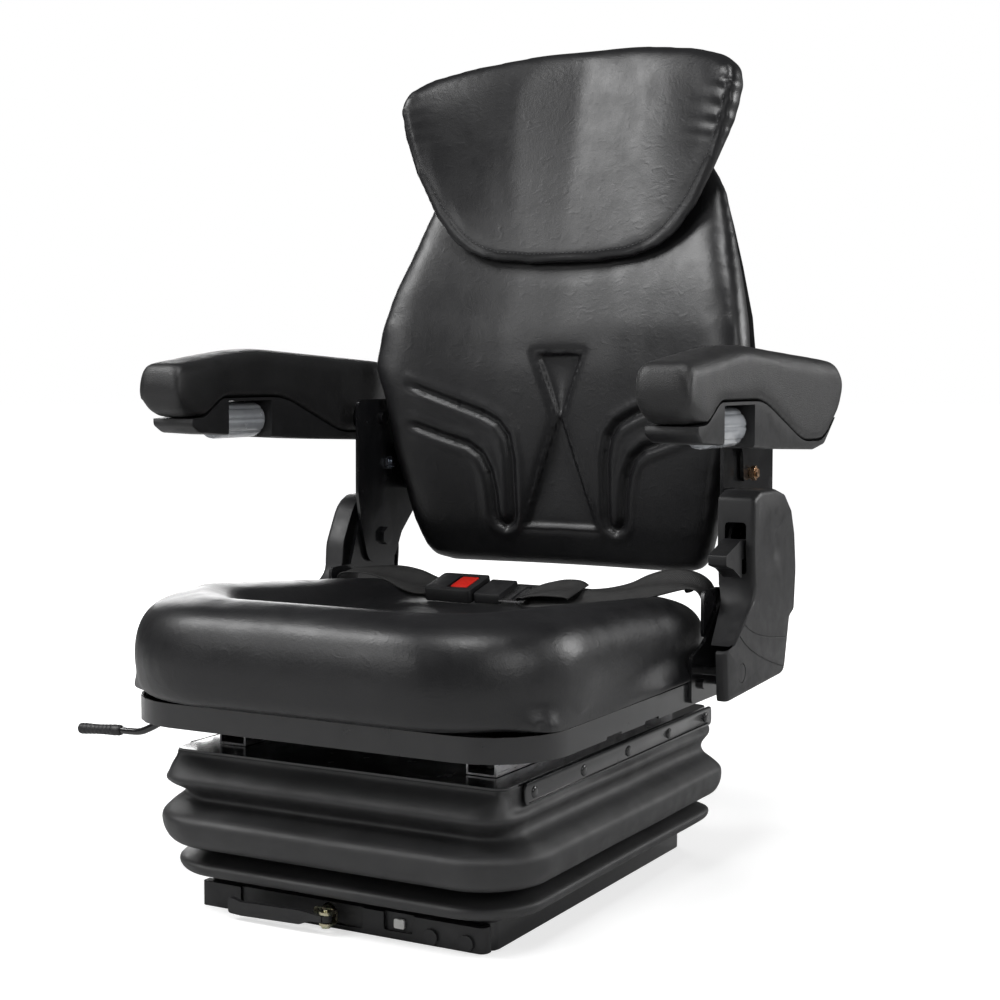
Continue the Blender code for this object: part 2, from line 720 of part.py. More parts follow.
def trim_strip(name, steel, side):
    inner = FRAME_HALF + FIT_GAP + BELLOWS_SKIN + FIT_GAP
    low, high = UPPER_FRAME_TOP - STRIP_HEIGHT + 0.006, UPPER_FRAME_TOP
    front, rear = STRIP_FRONT, UPPER_FRAME_REAR - 0.002
    outline = rounded([(front, low, 0.003), (rear, low, 0.003), (rear, high, 0.003), (front, high, 0.003)], 2)
    solids = [prism(outline, "X", *sorted((side * inner, side * (inner + STRIP_THICKNESS))))]
    spacing = (rear - front - 0.036) / (RIVET_COUNT - 1)
    middle = (low + high) / 2
    for i in range(RIVET_COUNT):
        y = front + 0.018 + i * spacing
        start = (side * (inner + STRIP_THICKNESS - 0.001), y, middle)
        end = (side * (inner + STRIP_THICKNESS + 0.0028), y, middle)
        dome = [(0, RIVET_RADIUS), (0.45, RIVET_RADIUS), (1, RIVET_RADIUS * 0.55)]
        solids.append(revolved(start, end, dome, 10))
    fuse(name, steel, solids)


# Slide


def rails(steel, dark):
    low = UPPER_FRAME_TOP + FIT_GAP
    high = PAN_BOTTOM - FIT_GAP
    wall = RAIL_WALL
    front, rear = -RAIL_LENGTH / 2, RAIL_LENGTH / 2
    half = RAIL_WIDTH / 2
    shoe = half - wall - RUN_GAP
    for label, side in (("left", 1), ("right", -1)):
        x = side * RAIL_X
        floor_z = low + wall
        top = low + LOWER_RAIL_HEIGHT
        lip = 0.006
        channel = [
            (x - half, low),
            (x + half, low),
            (x + half, top),
            (x + half - lip, top),
            (x + half - lip, top - wall),
            (x + half - wall, top - wall),
            (x + half - wall, floor_z),
            (x - half + wall, floor_z),
            (x - half + wall, top - wall),
            (x - half + lip, top - wall),
            (x - half + lip, top),
            (x - half, top),
        ]
        fuse(f"lower_rail_{label}", steel, [prism(channel, "Y", front, rear)])
        neck = half - lip - RUN_GAP
        shoe_top = top - wall - RUN_GAP
        runner = [
            (x - shoe, floor_z + FIT_GAP),
            (x + shoe, floor_z + FIT_GAP),
            (x + shoe, shoe_top),
            (x + neck, shoe_top),
            (x + neck, high),
            (x - neck, high),
            (x - neck, shoe_top),
            (x - shoe, shoe_top),
        ]
        fuse(f"upper_rail_{label}", dark, [prism(runner, "Y", front + 0.02, rear - 0.03)])


def swept(points, radius, segments=10):
    """A round bar along a bent path. Each ring is the one before, turned by the path's own bend."""
    points = [Vector(point) for point in points]
    tangents = []
    for i in range(len(points)):
        before = points[max(i - 1, 0)]
        after = points[min(i + 1, len(points) - 1)]
        tangents.append((after - before).normalized())
    spokes = [spoke - points[0] for spoke in circle(points[0], tangents[0], radius, segments)]
    rings = []
    for i, point in enumerate(points):
        if i:
            turn = tangents[i - 1].rotation_difference(tangents[i])
            spokes = [turn @ spoke for spoke in spokes]
        rings.append([point + spoke for spoke in spokes])
    return loft(rings)


def slide_lever(steel, plastic):
    """The bar bends out from under the pan to the grip on the sitter's right."""
    pivot = (-0.205, SLIDE_LEVER_Y, 0.1800)
    path = [
        (-0.190, SLIDE_LEVER_Y, 0.1800),
        pivot,
        (-0.262, SLIDE_LEVER_Y, 0.1780),
        (-0.292, SLIDE_LEVER_Y, 0.1640),
        (-0.306, SLIDE_LEVER_Y, 0.1590),
        (-0.330, SLIDE_LEVER_Y, 0.1580),
    ]
    hub = rod((-0.205, SLIDE_LEVER_Y - 0.010, 0.1800), (-0.205, SLIDE_LEVER_Y + 0.010, 0.1800), 0.0075)
    ends = [(-0.205, SLIDE_LEVER_Y + y, 0.1800) for y in (-0.02, 0.02)]
    hole = rod(*ends, 0.003 + RUN_GAP / 2)
    fuse("slide_lever", steel, [swept(path, SLIDE_ROD_RADIUS), hub], [hole], origin=pivot)
    grip = revolved(
        (-0.3304, SLIDE_LEVER_Y, 0.1580),
        (-0.392, SLIDE_LEVER_Y, 0.1545),
        [(0, 0.0050), (0.08, GRIP_RADIUS), (0.5, GRIP_RADIUS * 0.92), (0.92, GRIP_RADIUS), (1, 0.0045)],
        14,
    )
    fuse("slide_grip", plastic, [grip])


# Seat


def seat_pan(steel):
    half, low, top = PAN_WIDTH / 2, PAN_BOTTOM, PAN_BOTTOM + PAN_HEIGHT
    wall = PAN_WALL

    def outline(inset):
        corners = [
            (-half + inset, PAN_FRONT + inset, PAN_CORNER - inset),
            (half - inset, PAN_FRONT + inset, PAN_CORNER - inset),
            (half - inset, PAN_REAR - inset, 0.020 - inset),
            (-half + inset, PAN_REAR - inset, 0.020 - inset),
        ]
        return rounded(corners, 6)

    tray = prism(outline(0), "Z", low, top)
    inside = prism(outline(wall), "Z", low + wall, top + 0.01)
    cutters = [inside]
    # opening in the middle of the floor, and the notches of the side skirts
    cutters.append(rounded_box(-0.080, 0.080, -0.120, 0.080, low - 0.01, low + 0.01, 0.025))
    for side in (-1, 1):
        for y in (-0.130, -0.040):
            skirt = side * half
            notch = (skirt - 0.006, skirt + 0.006, y, y + 0.034, low - 0.01, low + 0.0028)
            cutters.append(rounded_box(*notch, 0.002))
    solids = [fuse("pan_tray", steel, [tray], cutters)]
    # pressed ribs across the floor, and the lug of the slide lever's pivot
    for y in (-0.225, -0.165, 0.120, 0.180):
        top = low + wall + 0.005
        solids.append(rounded_box(-0.180, 0.180, y, y + 0.012, top - 0.0055, top, 0.005))
    lug_y = SLIDE_LEVER_Y
    for y in (lug_y - 0.016, lug_y + 0.012):
        solids.append(rounded_box(-0.213, -0.197, y, y + 0.004, 0.1725, low + 0.0005, 0.0001, "Y", 1))
    solids.append(rod((-0.205, lug_y - 0.013, 0.1800), (-0.205, lug_y + 0.013, 0.1800), 0.003, 12))
    fuse("seat_pan", steel, solids)


def cushion_height(y, front_height, rear_height):
    return front_height + (rear_height - front_height) * eased(-0.02, 0.19, y)


def seat_cushion(vinyl):
    """Rings from the underside, round the swollen sides, over the rim and down to the well's floor."""
    bottom = PAN_BOTTOM + PAN_HEIGHT + FIT_GAP
    height = CUSHION_TOP - bottom
    profile = [
        (0.026, 0.0, 0.0),
        (0.012, 0.04, 0.0),
        (0.003, 0.20, 0.0),
        (0.000, 0.42, 0.2),
        (0.003, 0.66, 0.5),
        (0.012, 0.85, 0.8),
        (0.030, 0.965, 1.0),
        (0.054, 1.00, 1.0),
        (0.082, 0.95, 1.0),
        (0.102, 0.80, 1.0),
        (0.122, 0.00, 2.0),
        (0.150, 0.00, 2.0),
    ]
    half = CUSHION_WIDTH / 2
    pinch = CUSHION_REAR_WIDTH / CUSHION_WIDTH
    rings = []
    for inset, share, lowering in profile:
        ring = plan_ring(
            half - inset,
            CUSHION_FRONT + inset,
            CUSHION_REAR - inset * (1.0 if inset < 0.03 else 0.5),
            max(CUSHION_CORNER - inset * 0.6, 0.03),
            0,
            7,
        )
        for point in ring:
            waist = 1 - (1 - pinch) * eased(-0.04, 0.05, point.y)
            point.x *= waist
            if lowering > 1:
                point.z = CUSHION_WELL
            else:
                top = cushion_height(point.y, CUSHION_TOP, CUSHION_REAR_TOP) - CUSHION_TOP
                point.z = bottom + height * share + top * lowering
        rings.append(ring)
    fuse("seat_cushion", vinyl, [loft(rings)], smooth=60)


# Recliner


def hinge_bracket(name, steel, side, depth):
    """The steel cheek that is bolted to the pan's side and carries the recliner."""
    inner = PLATE_X
    outline = rounded(
        [
            (0.070, PAN_BOTTOM + 0.003, 0.006),
            (0.215, PAN_BOTTOM + 0.003, 0.008),
            (0.256, 0.290, 0.020),
            (0.262, 0.385, 0.030),
            (0.185, 0.392, 0.030),
            (0.150, 0.300, 0.030),
            (0.105, 0.262, 0.020),
            (0.070, 0.250, 0.010),
        ]
    )
    plate = prism(outline, "X", *sorted((side * inner, side * (inner + BRACKET_THICKNESS))))
    out = side * (inner + BRACKET_THICKNESS)
    near, far = side * (inner - 0.02), side * (inner + 0.02)
    ends = [(x, RECLINER_Y, RECLINER_Z) for x in (near, far)]
    hole = rod(*ends, RECLINER_BOLT_RADIUS + RUN_GAP / 2)
    solids = [plate]
    bolt_z = PAN_BOTTOM + PAN_HEIGHT - 0.0035
    for y in (0.095, 0.190):
        solids.append(rod((out - side * 0.001, y, bolt_z), (out + side * 0.0045, y, bolt_z), 0.0055, 6))
    # anchor that the webbing ends at, before the back side plate
    low, high = sorted((side * (inner + 0.001), side * (inner - 0.003)))
    solids.append(rounded_box(low, high, BELT_Y - 0.030, BELT_Y + 0.020, 0.266, 0.318, 0.006, "X"))
    # guide that the cover's screw goes into
    y, z = COVER_SCREW_Y, COVER_SCREW_Z
    solids.append(rod((out - side * 0.001, y, z), (out + side * (depth - 0.012), y, z), 0.005, 10))
    if side > 0:
        # pin that the recline lever turns on
        ends = [(x, LEVER_Y, LEVER_Z) for x in (out - 0.001, out + depth - 0.009)]
        solids.append(rod(*ends, LEVER_PIN_RADIUS))
    fuse(name, steel, solids, [hole], origin=(side * inner, RECLINER_Y, RECLINER_Z))


def bent(side, x, start, bend, end, steps=6):
    """Points of a curve on a level x. The curve leaves start towards bend and comes into end from bend."""
    points = []
    for step in range(steps + 1):
        t = step / steps
        shares = ((1 - t) ** 2, 2 * t * (1 - t), t * t)
        y, z = (sum(share * p[axis] for share, p in zip(shares, (start, bend, end))) for axis in (0, 1))
        points.append(Vector((side * x, y, z)))
    return points


def hinge_cover(name, plastic, side, depth):
    """A moulded shell over the bracket, open towards the seat. Its front flange thins to a lip below."""
    inner = PLATE_X + BRACKET_THICKNESS + FIT_GAP
    outer = inner + depth
    wall = COVER_WALL
    if side > 0:
        nose = [(0.145, 0.309, 0.030), (0.139, 0.360, 0.060), (0.140, 0.419, 0.006), (0.160, 0.426, 0.016)]
    else:
        nose = [(0.142, 0.308, 0.020), (0.146, 0.345, 0.040), (0.174, 0.396, 0.040)]
    corners = [
        (0.066, 0.2055, 0.006),
        (0.062, 0.2605, 0.004),
        (0.080, 0.2625, 0.006),
        *nose,
        (0.262, 0.4250, 0.062),
        (0.276, 0.3300, 0.060),
        (0.271, 0.2830, 0.005),
        (0.256, 0.2760, 0.008),
        (0.239, 0.2130, 0.012),
    ]
    outline = rounded(corners, 3)
    centre = Vector((0.170, 0.310))

    def ring(x, shrink):
        points = []
        for y, z in outline:
            toward = (centre - Vector((y, z))).normalized() * shrink
            points.append(Vector((side * x, y + toward.x, z + toward.y)))
        return points

    edge = [(0.0060, 0.0), (0.0025, 0.0010), (0.0008, 0.0028), (0.0, 0.0055)]
    body = loft([ring(inner, 0.0), *(ring(outer - back, shrink) for back, shrink in edge)])
    inside = [(inner - 0.01, wall), (outer - wall - 0.003, wall), (outer - wall, wall + 0.005)]
    hollow = loft([ring(x, shrink) for x, shrink in inside])
    foot, knee = 0.2615, 0.330
    taper = [
        (side * (inner - 0.01), 0.190),
        (side * (outer - COVER_LIP), 0.190),
        (side * (outer - COVER_LIP), foot),
        (side * (outer - depth * 0.6), foot),
        (side * (inner - 0.002), knee),
        (side * (inner - 0.01), knee),
    ]
    dish = []
    for x, half_width, half_height in ((outer + 0.002, 0.018, 0.023), (outer - 0.0016, 0.010, 0.014)):
        oval = []
        for step in range(16):
            turn = math.tau * step / 16
            y, z = 0.206 + half_width * math.cos(turn), 0.3615 + half_height * math.sin(turn)
            oval.append(Vector((side * x, y, z)))
        dish.append(oval)
    cutters = [hollow, prism(taper, "Y", 0.040, 0.150), loft(dish)]
    # two moulded grooves across the lower part
    for curve in (
        ((0.111, 0.2845), (0.145, 0.2610), (0.262, 0.2525)),
        ((0.098, 0.2730), (0.135, 0.2430), (0.248, 0.2180)),
    ):
        cutters.append(swept(bent(side, outer, *curve), 0.0012, 6))
    if side > 0:
        # slot of the recline lever
        cutters.append(rounded_box(inner + 0.008, outer - 0.010, 0.120, 0.160, 0.335, 0.392, 0.004, "Y"))
    y, z = COVER_SCREW_Y, COVER_SCREW_Z
    cap = rod((side * (outer - 0.0003), y, z), (side * (outer - 0.004), y, z), 0.0100, 16)
    cutters.append(rod((side * (outer + 0.01), y, z), (side * (outer - 0.001), y, z), 0.0108, 16))
    shell = fuse("cover_shell", plastic, [body], cutters)
    fuse(name, plastic, [shell, cap])


def recline_lever(plastic):
    """A wedge that comes forward out of the cover's slot."""
    inner = PLATE_X + BRACKET_THICKNESS + FIT_GAP + 0.010
    outer = PLATE_X + BRACKET_THICKNESS + FIT_GAP + COVER_DEPTH - 0.012
    neck = rounded(
        [
            (LEVER_Y + 0.009, LEVER_Z - 0.009, 0.008),
            (LEVER_Y + 0.009, LEVER_Z + 0.009, 0.008),
            (0.132, LEVER_Z + 0.013, 0),
            (0.132, LEVER_Z - 0.008, 0),
        ],
        3,
    )
    wedge = rounded(
        [
            (0.1345, LEVER_Z + 0.0150, 0.0015),
            (0.0880, LEVER_Z, 0.0015),
            (0.0880, LEVER_Z - 0.0110, 0.0020),
            (0.1080, LEVER_Z - 0.0160, 0.0300),
            (0.1330, LEVER_Z - 0.0290, 0.0020),
        ],
        3,
    )
    solids = [prism(neck, "X", inner + 0.001, outer - 0.001), prism(wedge, "X", inner, outer)]
    hole = rod(*[(x, LEVER_Y, LEVER_Z) for x in (inner - 0.01, outer + 0.01)], LEVER_PIN_RADIUS + FIT_GAP)
    fuse("recline_lever", plastic, solids, [hole], origin=(inner, LEVER_Y, LEVER_Z))


def back_side_plate(name, steel, side):
    inner = BACK_PLATE_X
    outline = rounded(
        [
            (0.190, 0.316, 0.020),
            (0.250, 0.316, 0.020),
            (0.268, 0.350, 0.015),
            (0.322, 0.400, 0.008),
            (0.322, 0.470, 0.008),
            (0.258, 0.500, 0.010),
            (0.244, ARM_HINGE_Z + 0.024, 0.020),
            (0.168, ARM_HINGE_Z + 0.024, 0.008),
            (0.167, 0.405, 0.030),
            (0.176, 0.360, 0.040),
        ]
    )
    plate = prism(outline, "X", *sorted((side * inner, side * (inner + SIDE_PLATE_THICKNESS))))
    cutters = []
    for y, z, radius in (
        (RECLINER_Y, RECLINER_Z, RECLINER_BOLT_RADIUS + FIT_GAP),
        (ARM_HINGE_Y, ARM_HINGE_Z, 0.005 + FIT_GAP),
        (STOP_BOLT_Y, STOP_BOLT_Z, STOP_BOLT_RADIUS + FIT_GAP),
    ):
        cutters.append(rod((side * (inner - 0.02), y, z), (side * (inner + 0.02), y, z), radius))
    fuse(name, steel, [plate], cutters)


def recliner_bolt(name, zinc, side):
    start = (side * (BACK_PLATE_X - FIT_GAP), RECLINER_Y, RECLINER_Z)
    reach = PLATE_X + BRACKET_THICKNESS + 0.010
    end = (side * reach, RECLINER_Y, RECLINER_Z)
    fuse(name, zinc, bolt(start, end, RECLINER_BOLT_RADIUS, 0.0115, 0.006), origin=start)


def stop_bolt(name, zinc, side):
    """The through bolt whose sleeve the armrest bracket's tail rests on."""
    inner = BACK_PLATE_X - FIT_GAP
    outer = BACK_PLATE_X + SIDE_PLATE_THICKNESS + FIT_GAP
    y, z = STOP_BOLT_Y, STOP_BOLT_Z
    solids = [
        rod((side * (inner - 0.008), y, z), (side * (outer + 0.0145), y, z), STOP_BOLT_RADIUS, 12),
        rod((side * (inner - 0.005), y, z), (side * inner, y, z), 0.0085, 6),
        rod((side * outer, y, z), (side * (outer + 0.007), y, z), STOP_SLEEVE_RADIUS, 16),
        rod((side * (outer + 0.0065), y, z), (side * (outer + 0.0120), y, z), 0.0085, 6),
    ]
    fuse(name, zinc, solids, origin=(side * inner, y, z))


# Backrest and headrest

BACK_WIDTHS = [
    (0.317, 0.72), (0.335, 0.785), (0.370, 0.83), (0.407, 0.860), (0.460, 0.910), (0.500, 0.935),
    (0.522, 0.945), (0.560, 1.0), (0.609, 0.980), (0.658, 0.935), (0.722, 0.855), (0.769, 0.795),
    (0.800, 0.715), (0.822, 0.60), (0.835, 0.45),
]
BACK_FRONTS = [
    (0.317, 0.262), (0.360, 0.250), (0.450, 0.243), (0.550, 0.240), (0.620, 0.247), (0.690, 0.268),
    (0.760, 0.286), (0.835, 0.309),
]
BACK_WRAPS = [
    (0.317, 0.022), (0.360, 0.036), (0.450, 0.056), (0.560, 0.066), (0.650, 0.058), (0.700, 0.042),
    (0.769, 0.028), (0.835, 0.014),
]


def back_stretch(z):
    """Where a height lies on the tables, which are written for the backrest's own bottom and top."""
    first, last = BACK_WIDTHS[0][0], BACK_WIDTHS[-1][0]
    return first + (last - first) * (z - BACK_BOTTOM) / (BACK_TOP - BACK_BOTTOM)


def back_rear(z):
    """The plane that the cushion's back and the shell's front share: upright, then leaning back."""
    return 0.285 + 0.40 * max(0.0, back_stretch(z) - 0.50) ** 2


def section(half_width, front, rear, wrap, z, count=36, corner=3.2, rear_wrap=0.0, span=None):
    """A cushion's level cut: a rounded oblong whose front edges, and rear ones where asked, wrap forward.

    The wrap is what it would be at the span from the middle.
    """
    span = span or half_width
    middle, depth = (front + rear) / 2, (rear - front) / 2
    ring = []
    for i in range(count):
        angle = 2 * math.pi * i / count
        cosine, sine = math.cos(angle), math.sin(angle)
        across = math.copysign(abs(cosine) ** (2 / corner), cosine)
        forward = math.copysign(abs(sine) ** (2 / corner), sine)
        y = middle - depth * forward
        y -= (abs(across) * half_width / span) ** 2.4 * (wrap * (1 + forward) + rear_wrap * (1 - forward)) / 2
        ring.append(Vector((half_width * across, y, z)))
    return ring


def back_cushion(vinyl):
    rings = []
    heights = [z for z, _ in BACK_WIDTHS]
    low, high = heights[0], heights[-1]
    for place in [low, low + 0.006, *heights[1:-1], high - 0.004, high]:
        z = BACK_BOTTOM + (place - low) * (BACK_TOP - BACK_BOTTOM) / (high - low)
        half = BACK_WIDTH / 2 * between(BACK_WIDTHS, place)
        front = between(BACK_FRONTS, place)
        rear = back_rear(z) - FIT_GAP
        wrap = between(BACK_WRAPS, place)
        if place in (low, high):
            half -= 0.016
            front += 0.012
            rear -= 0.008
            wrap *= 0.6
        rings.append(section(half, front, rear, wrap, z, 40))
    body = loft(rings)
    face = between(BACK_FRONTS, 0.46)
    deep = face + GROOVE_DEPTH
    hourglass = prism(
        [(-0.033, 0.580), (0.033, 0.580), (0.004, 0.503), (0.052, 0.366), (-0.052, 0.366), (-0.004, 0.503)],
        "Y",
        face - 0.08,
        deep,
    )
    cutters = [hourglass]
    # one groove each side: in from the edge, down, round and back, so that a bent rib stands between
    groove = [
        (0.196, 0.541), (0.150, 0.523), (0.090, 0.500), (0.072, 0.482), (0.065, 0.450), (0.064, 0.380),
        (0.068, 0.369), (0.076, 0.365), (0.084, 0.369), (0.088, 0.380), (0.091, 0.410), (0.098, 0.440),
        (0.114, 0.464), (0.150, 0.482), (0.200, 0.500),
    ]
    for side in (-1, 1):
        points = []
        for x, z in groove:
            surface = between(BACK_FRONTS, z) - between(BACK_WRAPS, z) * (x / (BACK_WIDTH / 2)) ** 2.4
            points.append((side * x, surface - 0.0005, z))
        cutters.append(swept(points, 0.0045, 6))
    fuse("back_cushion", vinyl, [body], cutters, smooth=50)


def back_shell(plastic):
    """A shallow dish behind the cushion with ears for the side plates and the headrest's guide."""
    heights = [0.345, 0.380, 0.430, 0.500, 0.560, 0.620, 0.680, 0.730, 0.775, 0.800, 0.812]
    first, last = BACK_WIDTHS[0][0], BACK_WIDTHS[-1][0]
    outer, inner = [], []
    for place in heights:
        z = BACK_BOTTOM + (place - first) * (BACK_TOP - BACK_BOTTOM) / (last - first)
        half = BACK_WIDTH / 2 * between(BACK_WIDTHS, place) - 0.012
        front = back_rear(z) + FIT_GAP
        deep = SHELL_DEPTH
        if place in (heights[0], heights[-1]):
            half -= 0.012
            deep *= 0.5
        outer.append(section(half, front - deep, front + deep, 0, z, 26, 3.0))
        shrink = SHELL_WALL
        lift = 0.004 if place == heights[0] else -0.004 if place == heights[-1] else 0
        inner.append(section(half - shrink, front - 0.05, front + deep - shrink, 0, z + lift, 32, 3.0))
    body = loft(outer)
    hollow = loft(inner)
    # what is forward of the shared plane goes, following its curve
    cut_outline = [(back_rear(z) + FIT_GAP, z) for z in (0.20, 0.50, 0.60, 0.68, 0.76, 0.84, 0.95)]
    cut_outline += [(0.10, 0.95), (0.10, 0.20)]
    forward = prism(cut_outline, "X", -0.30, 0.30)
    solids = [fuse("dish", plastic, [body], [forward, hollow])]
    ear_front = back_rear(0.43) + FIT_GAP
    for side in (-1, 1):
        ear = rounded_box(
            *sorted((side * (BACK_PLATE_X - 0.0514), side * (BACK_PLATE_X - FIT_GAP))),
            ear_front,
            ear_front + 0.024,
            0.405,
            0.465,
            0.004,
            "X",
        )
        solids.append(ear)
    # guide box for the headrest's tongue, and stiffening ribs of the dish
    tilt = Matrix.Rotation(-math.radians(HEADREST_TILT), 4, "X")
    pivot = Matrix.Translation(tongue_base())
    half = TONGUE_WIDTH / 2
    thick = TONGUE_THICKNESS / 2
    guide = box(-half - 0.008, half + 0.008, -thick - 0.018, thick + 0.006, -0.080, 0.075)
    slot = box(
        -half - RUN_GAP,
        half + RUN_GAP,
        -thick - RUN_GAP,
        thick + RUN_GAP,
        -0.072,
        0.20,
    )
    for piece in (guide, slot):
        piece.data.transform(pivot @ tilt)
    solids.append(guide)
    room = prism(cut_outline, "X", -0.30, 0.30)
    fuse("back_shell", plastic, solids, [slot, room])


def tongue_base():
    """The middle of the guide that the headrest's tongue runs in."""
    z = BACK_TOP - 0.105
    return Vector((0, back_rear(z) + SHELL_DEPTH + 0.010, z))


def carrier_face(z):
    """Where the pad's back rests on the carrier's head plate."""
    tilt = math.radians(HEADREST_TILT)
    middle = tongue_base()
    return middle.y + (z - middle.z) * math.tan(tilt) - CARRIER_REACH / math.cos(tilt) - FIT_GAP


def headrest_carrier(steel):
    half, thick = TONGUE_WIDTH / 2, TONGUE_THICKNESS / 2
    tongue = box(-half, half, -thick, thick, -0.068, 0.160)
    bridge = box(-half, half, -CARRIER_REACH + 0.001, thick, 0.148, 0.160)
    wide = half + 0.020
    head = rounded_box(-wide, wide, -CARRIER_REACH, -CARRIER_REACH + 0.004, 0.120, 0.200, 0.010, "Y")
    place = Matrix.Translation(tongue_base()) @ Matrix.Rotation(-math.radians(HEADREST_TILT), 4, "X")
    for piece in (tongue, bridge, head):
        piece.data.transform(place)
    fuse("headrest_carrier", steel, [tongue, bridge, head], origin=tuple(tongue_base()))


HEADREST_WIDTHS = [
    (0.686, 0.25), (0.690, 0.42), (0.700, 0.565), (0.714, 0.665), (0.750, 0.79), (0.800, 0.895),
    (0.838, 0.950), (0.850, 0.968), (0.888, 1.0), (0.908, 0.975), (0.925, 0.87), (0.940, 0.68),
    (0.950, 0.44), (0.955, 0.24),
]


def headrest_pad(vinyl):
    """A shield that leans back, with wings that wrap forward. Its lower part hangs before the backrest."""
    first, last = HEADREST_WIDTHS[0][0], HEADREST_WIDTHS[-1][0]
    span = HEADREST_WIDTH / 2
    rings = []
    for place, share in HEADREST_WIDTHS:
        rise = (place - first) / (last - first)
        z = HEADREST_BOTTOM + (HEADREST_TOP - HEADREST_BOTTOM) * rise
        half = span * share
        front = 0.246 + 0.076 * rise
        wrap = 0.040 + 0.048 * eased(0.0, 0.8, rise)
        spread = back_stretch(z)
        behind = between(BACK_FRONTS, spread) - 0.004
        back_half = BACK_WIDTH / 2 * between(BACK_WIDTHS, min(spread, 0.80))
        over = eased(BACK_TOP + 0.004, BACK_TOP + 0.030, z)
        rear_wrap = between(BACK_WRAPS, spread) * (span / back_half) ** 2.4 * (1 - over) + 0.045 * over
        rear = behind + (carrier_face(z) - behind) * over
        ends = 0.006 if share < 0.3 else 0.0
        rear = max(rear - ends, front + ends + 0.004)
        rings.append(section(half, front + ends, rear, wrap, z, 40, 4.0, rear_wrap, span))
    body = loft(rings)
    fuse("headrest_pad", vinyl, [body], smooth=60)


# Armrests


def armrest_bracket(name, steel, side):
    """A plate beside the back side plate with an eye, a bar that goes into the armrest, and a stop tail.

    The tail's rear edge rests on the stop bolt's sleeve, and swings forward as the armrest is lifted.
    """
    inner = PLATE_X + RUN_GAP
    outer = inner + 0.004
    middle = ARMREST_INNER + ARMREST_WIDTH / 2
    tail = STOP_BOLT_Y - STOP_SLEEVE_RADIUS - FIT_GAP
    outline = rounded(
        [
            (ARM_HINGE_Y - 0.022, ARM_HINGE_Z - 0.013, 0.010),
            (tail - 0.017, STOP_BOLT_Z + 0.020, 0.012),
            (tail - 0.015, STOP_BOLT_Z - 0.009, 0.005),
            (tail, STOP_BOLT_Z - 0.009, 0.003),
            (tail, STOP_BOLT_Z + 0.018, 0.008),
            (ARM_HINGE_Y + 0.022, ARM_HINGE_Z - 0.018, 0.010),
            (ARM_HINGE_Y + 0.022, ARM_HINGE_Z + 0.021, 0.018),
            (ARM_HINGE_Y - 0.020, ARM_HINGE_Z + 0.021, 0.016),
        ]
    )
    plate = prism(outline, "X", *sorted((side * inner, side * outer)))
    y, z = ARM_HINGE_Y, ARM_HINGE_Z
    boss = rod((side * (outer - 0.001), y, z), (side * (middle + 0.010), y, z), 0.012)
    bar_front = WHEEL_FRONT + WHEEL_LENGTH + 2 * RUN_GAP + 0.004
    bar = box(
        *sorted((side * (middle - BAR_HALF), side * (middle + BAR_HALF))),
        bar_front,
        ARM_HINGE_Y + 0.004,
        WHEEL_Z - BAR_HALF,
        WHEEL_Z + BAR_HALF,
    )
    tip = WHEEL_FRONT - 0.028
    spindle = rod((side * middle, bar_front + 0.004, WHEEL_Z), (side * middle, tip, WHEEL_Z), SPINDLE_RADIUS)
    hole = rod((side * (inner - 0.02), y, z), (side * (middle - 0.010), y, z), 0.005 + RUN_GAP / 2)
    fuse(name, steel, [plate, boss, bar, spindle], [hole], origin=(side * inner, ARM_HINGE_Y, ARM_HINGE_Z))


def armrest_bolt(name, zinc, side):
    start = BACK_PLATE_X - FIT_GAP
    y, z = ARM_HINGE_Y, ARM_HINGE_Z
    middle = ARMREST_INNER + ARMREST_WIDTH / 2
    solids = [
        rod((side * start, y, z), (side * (start - 0.0035), y, z), 0.0085, 12),
        rod((side * start, y, z), (side * (middle - 0.012), y, z), 0.005, 12),
    ]
    solids[1].data.transform(Matrix.Translation((-side * 0.001, 0, 0)))
    fuse(name, zinc, solids, origin=(side * start, y, z))


# the line where the padded top meets the lower moulding, from the nose to the rear
ARMREST_SPLIT = rounded(
    [
        (-0.1120, 0.5038, 0),
        (-0.0900, 0.5050, 0.020),
        (-0.0560, 0.5262, 0.026),
        (0.0600, 0.5262, 0.120),
        (0.1820, 0.4800, 0.120),
        (0.2480, 0.4790, 0.060),
        (0.2880, 0.5045, 0),
    ],
    3,
)


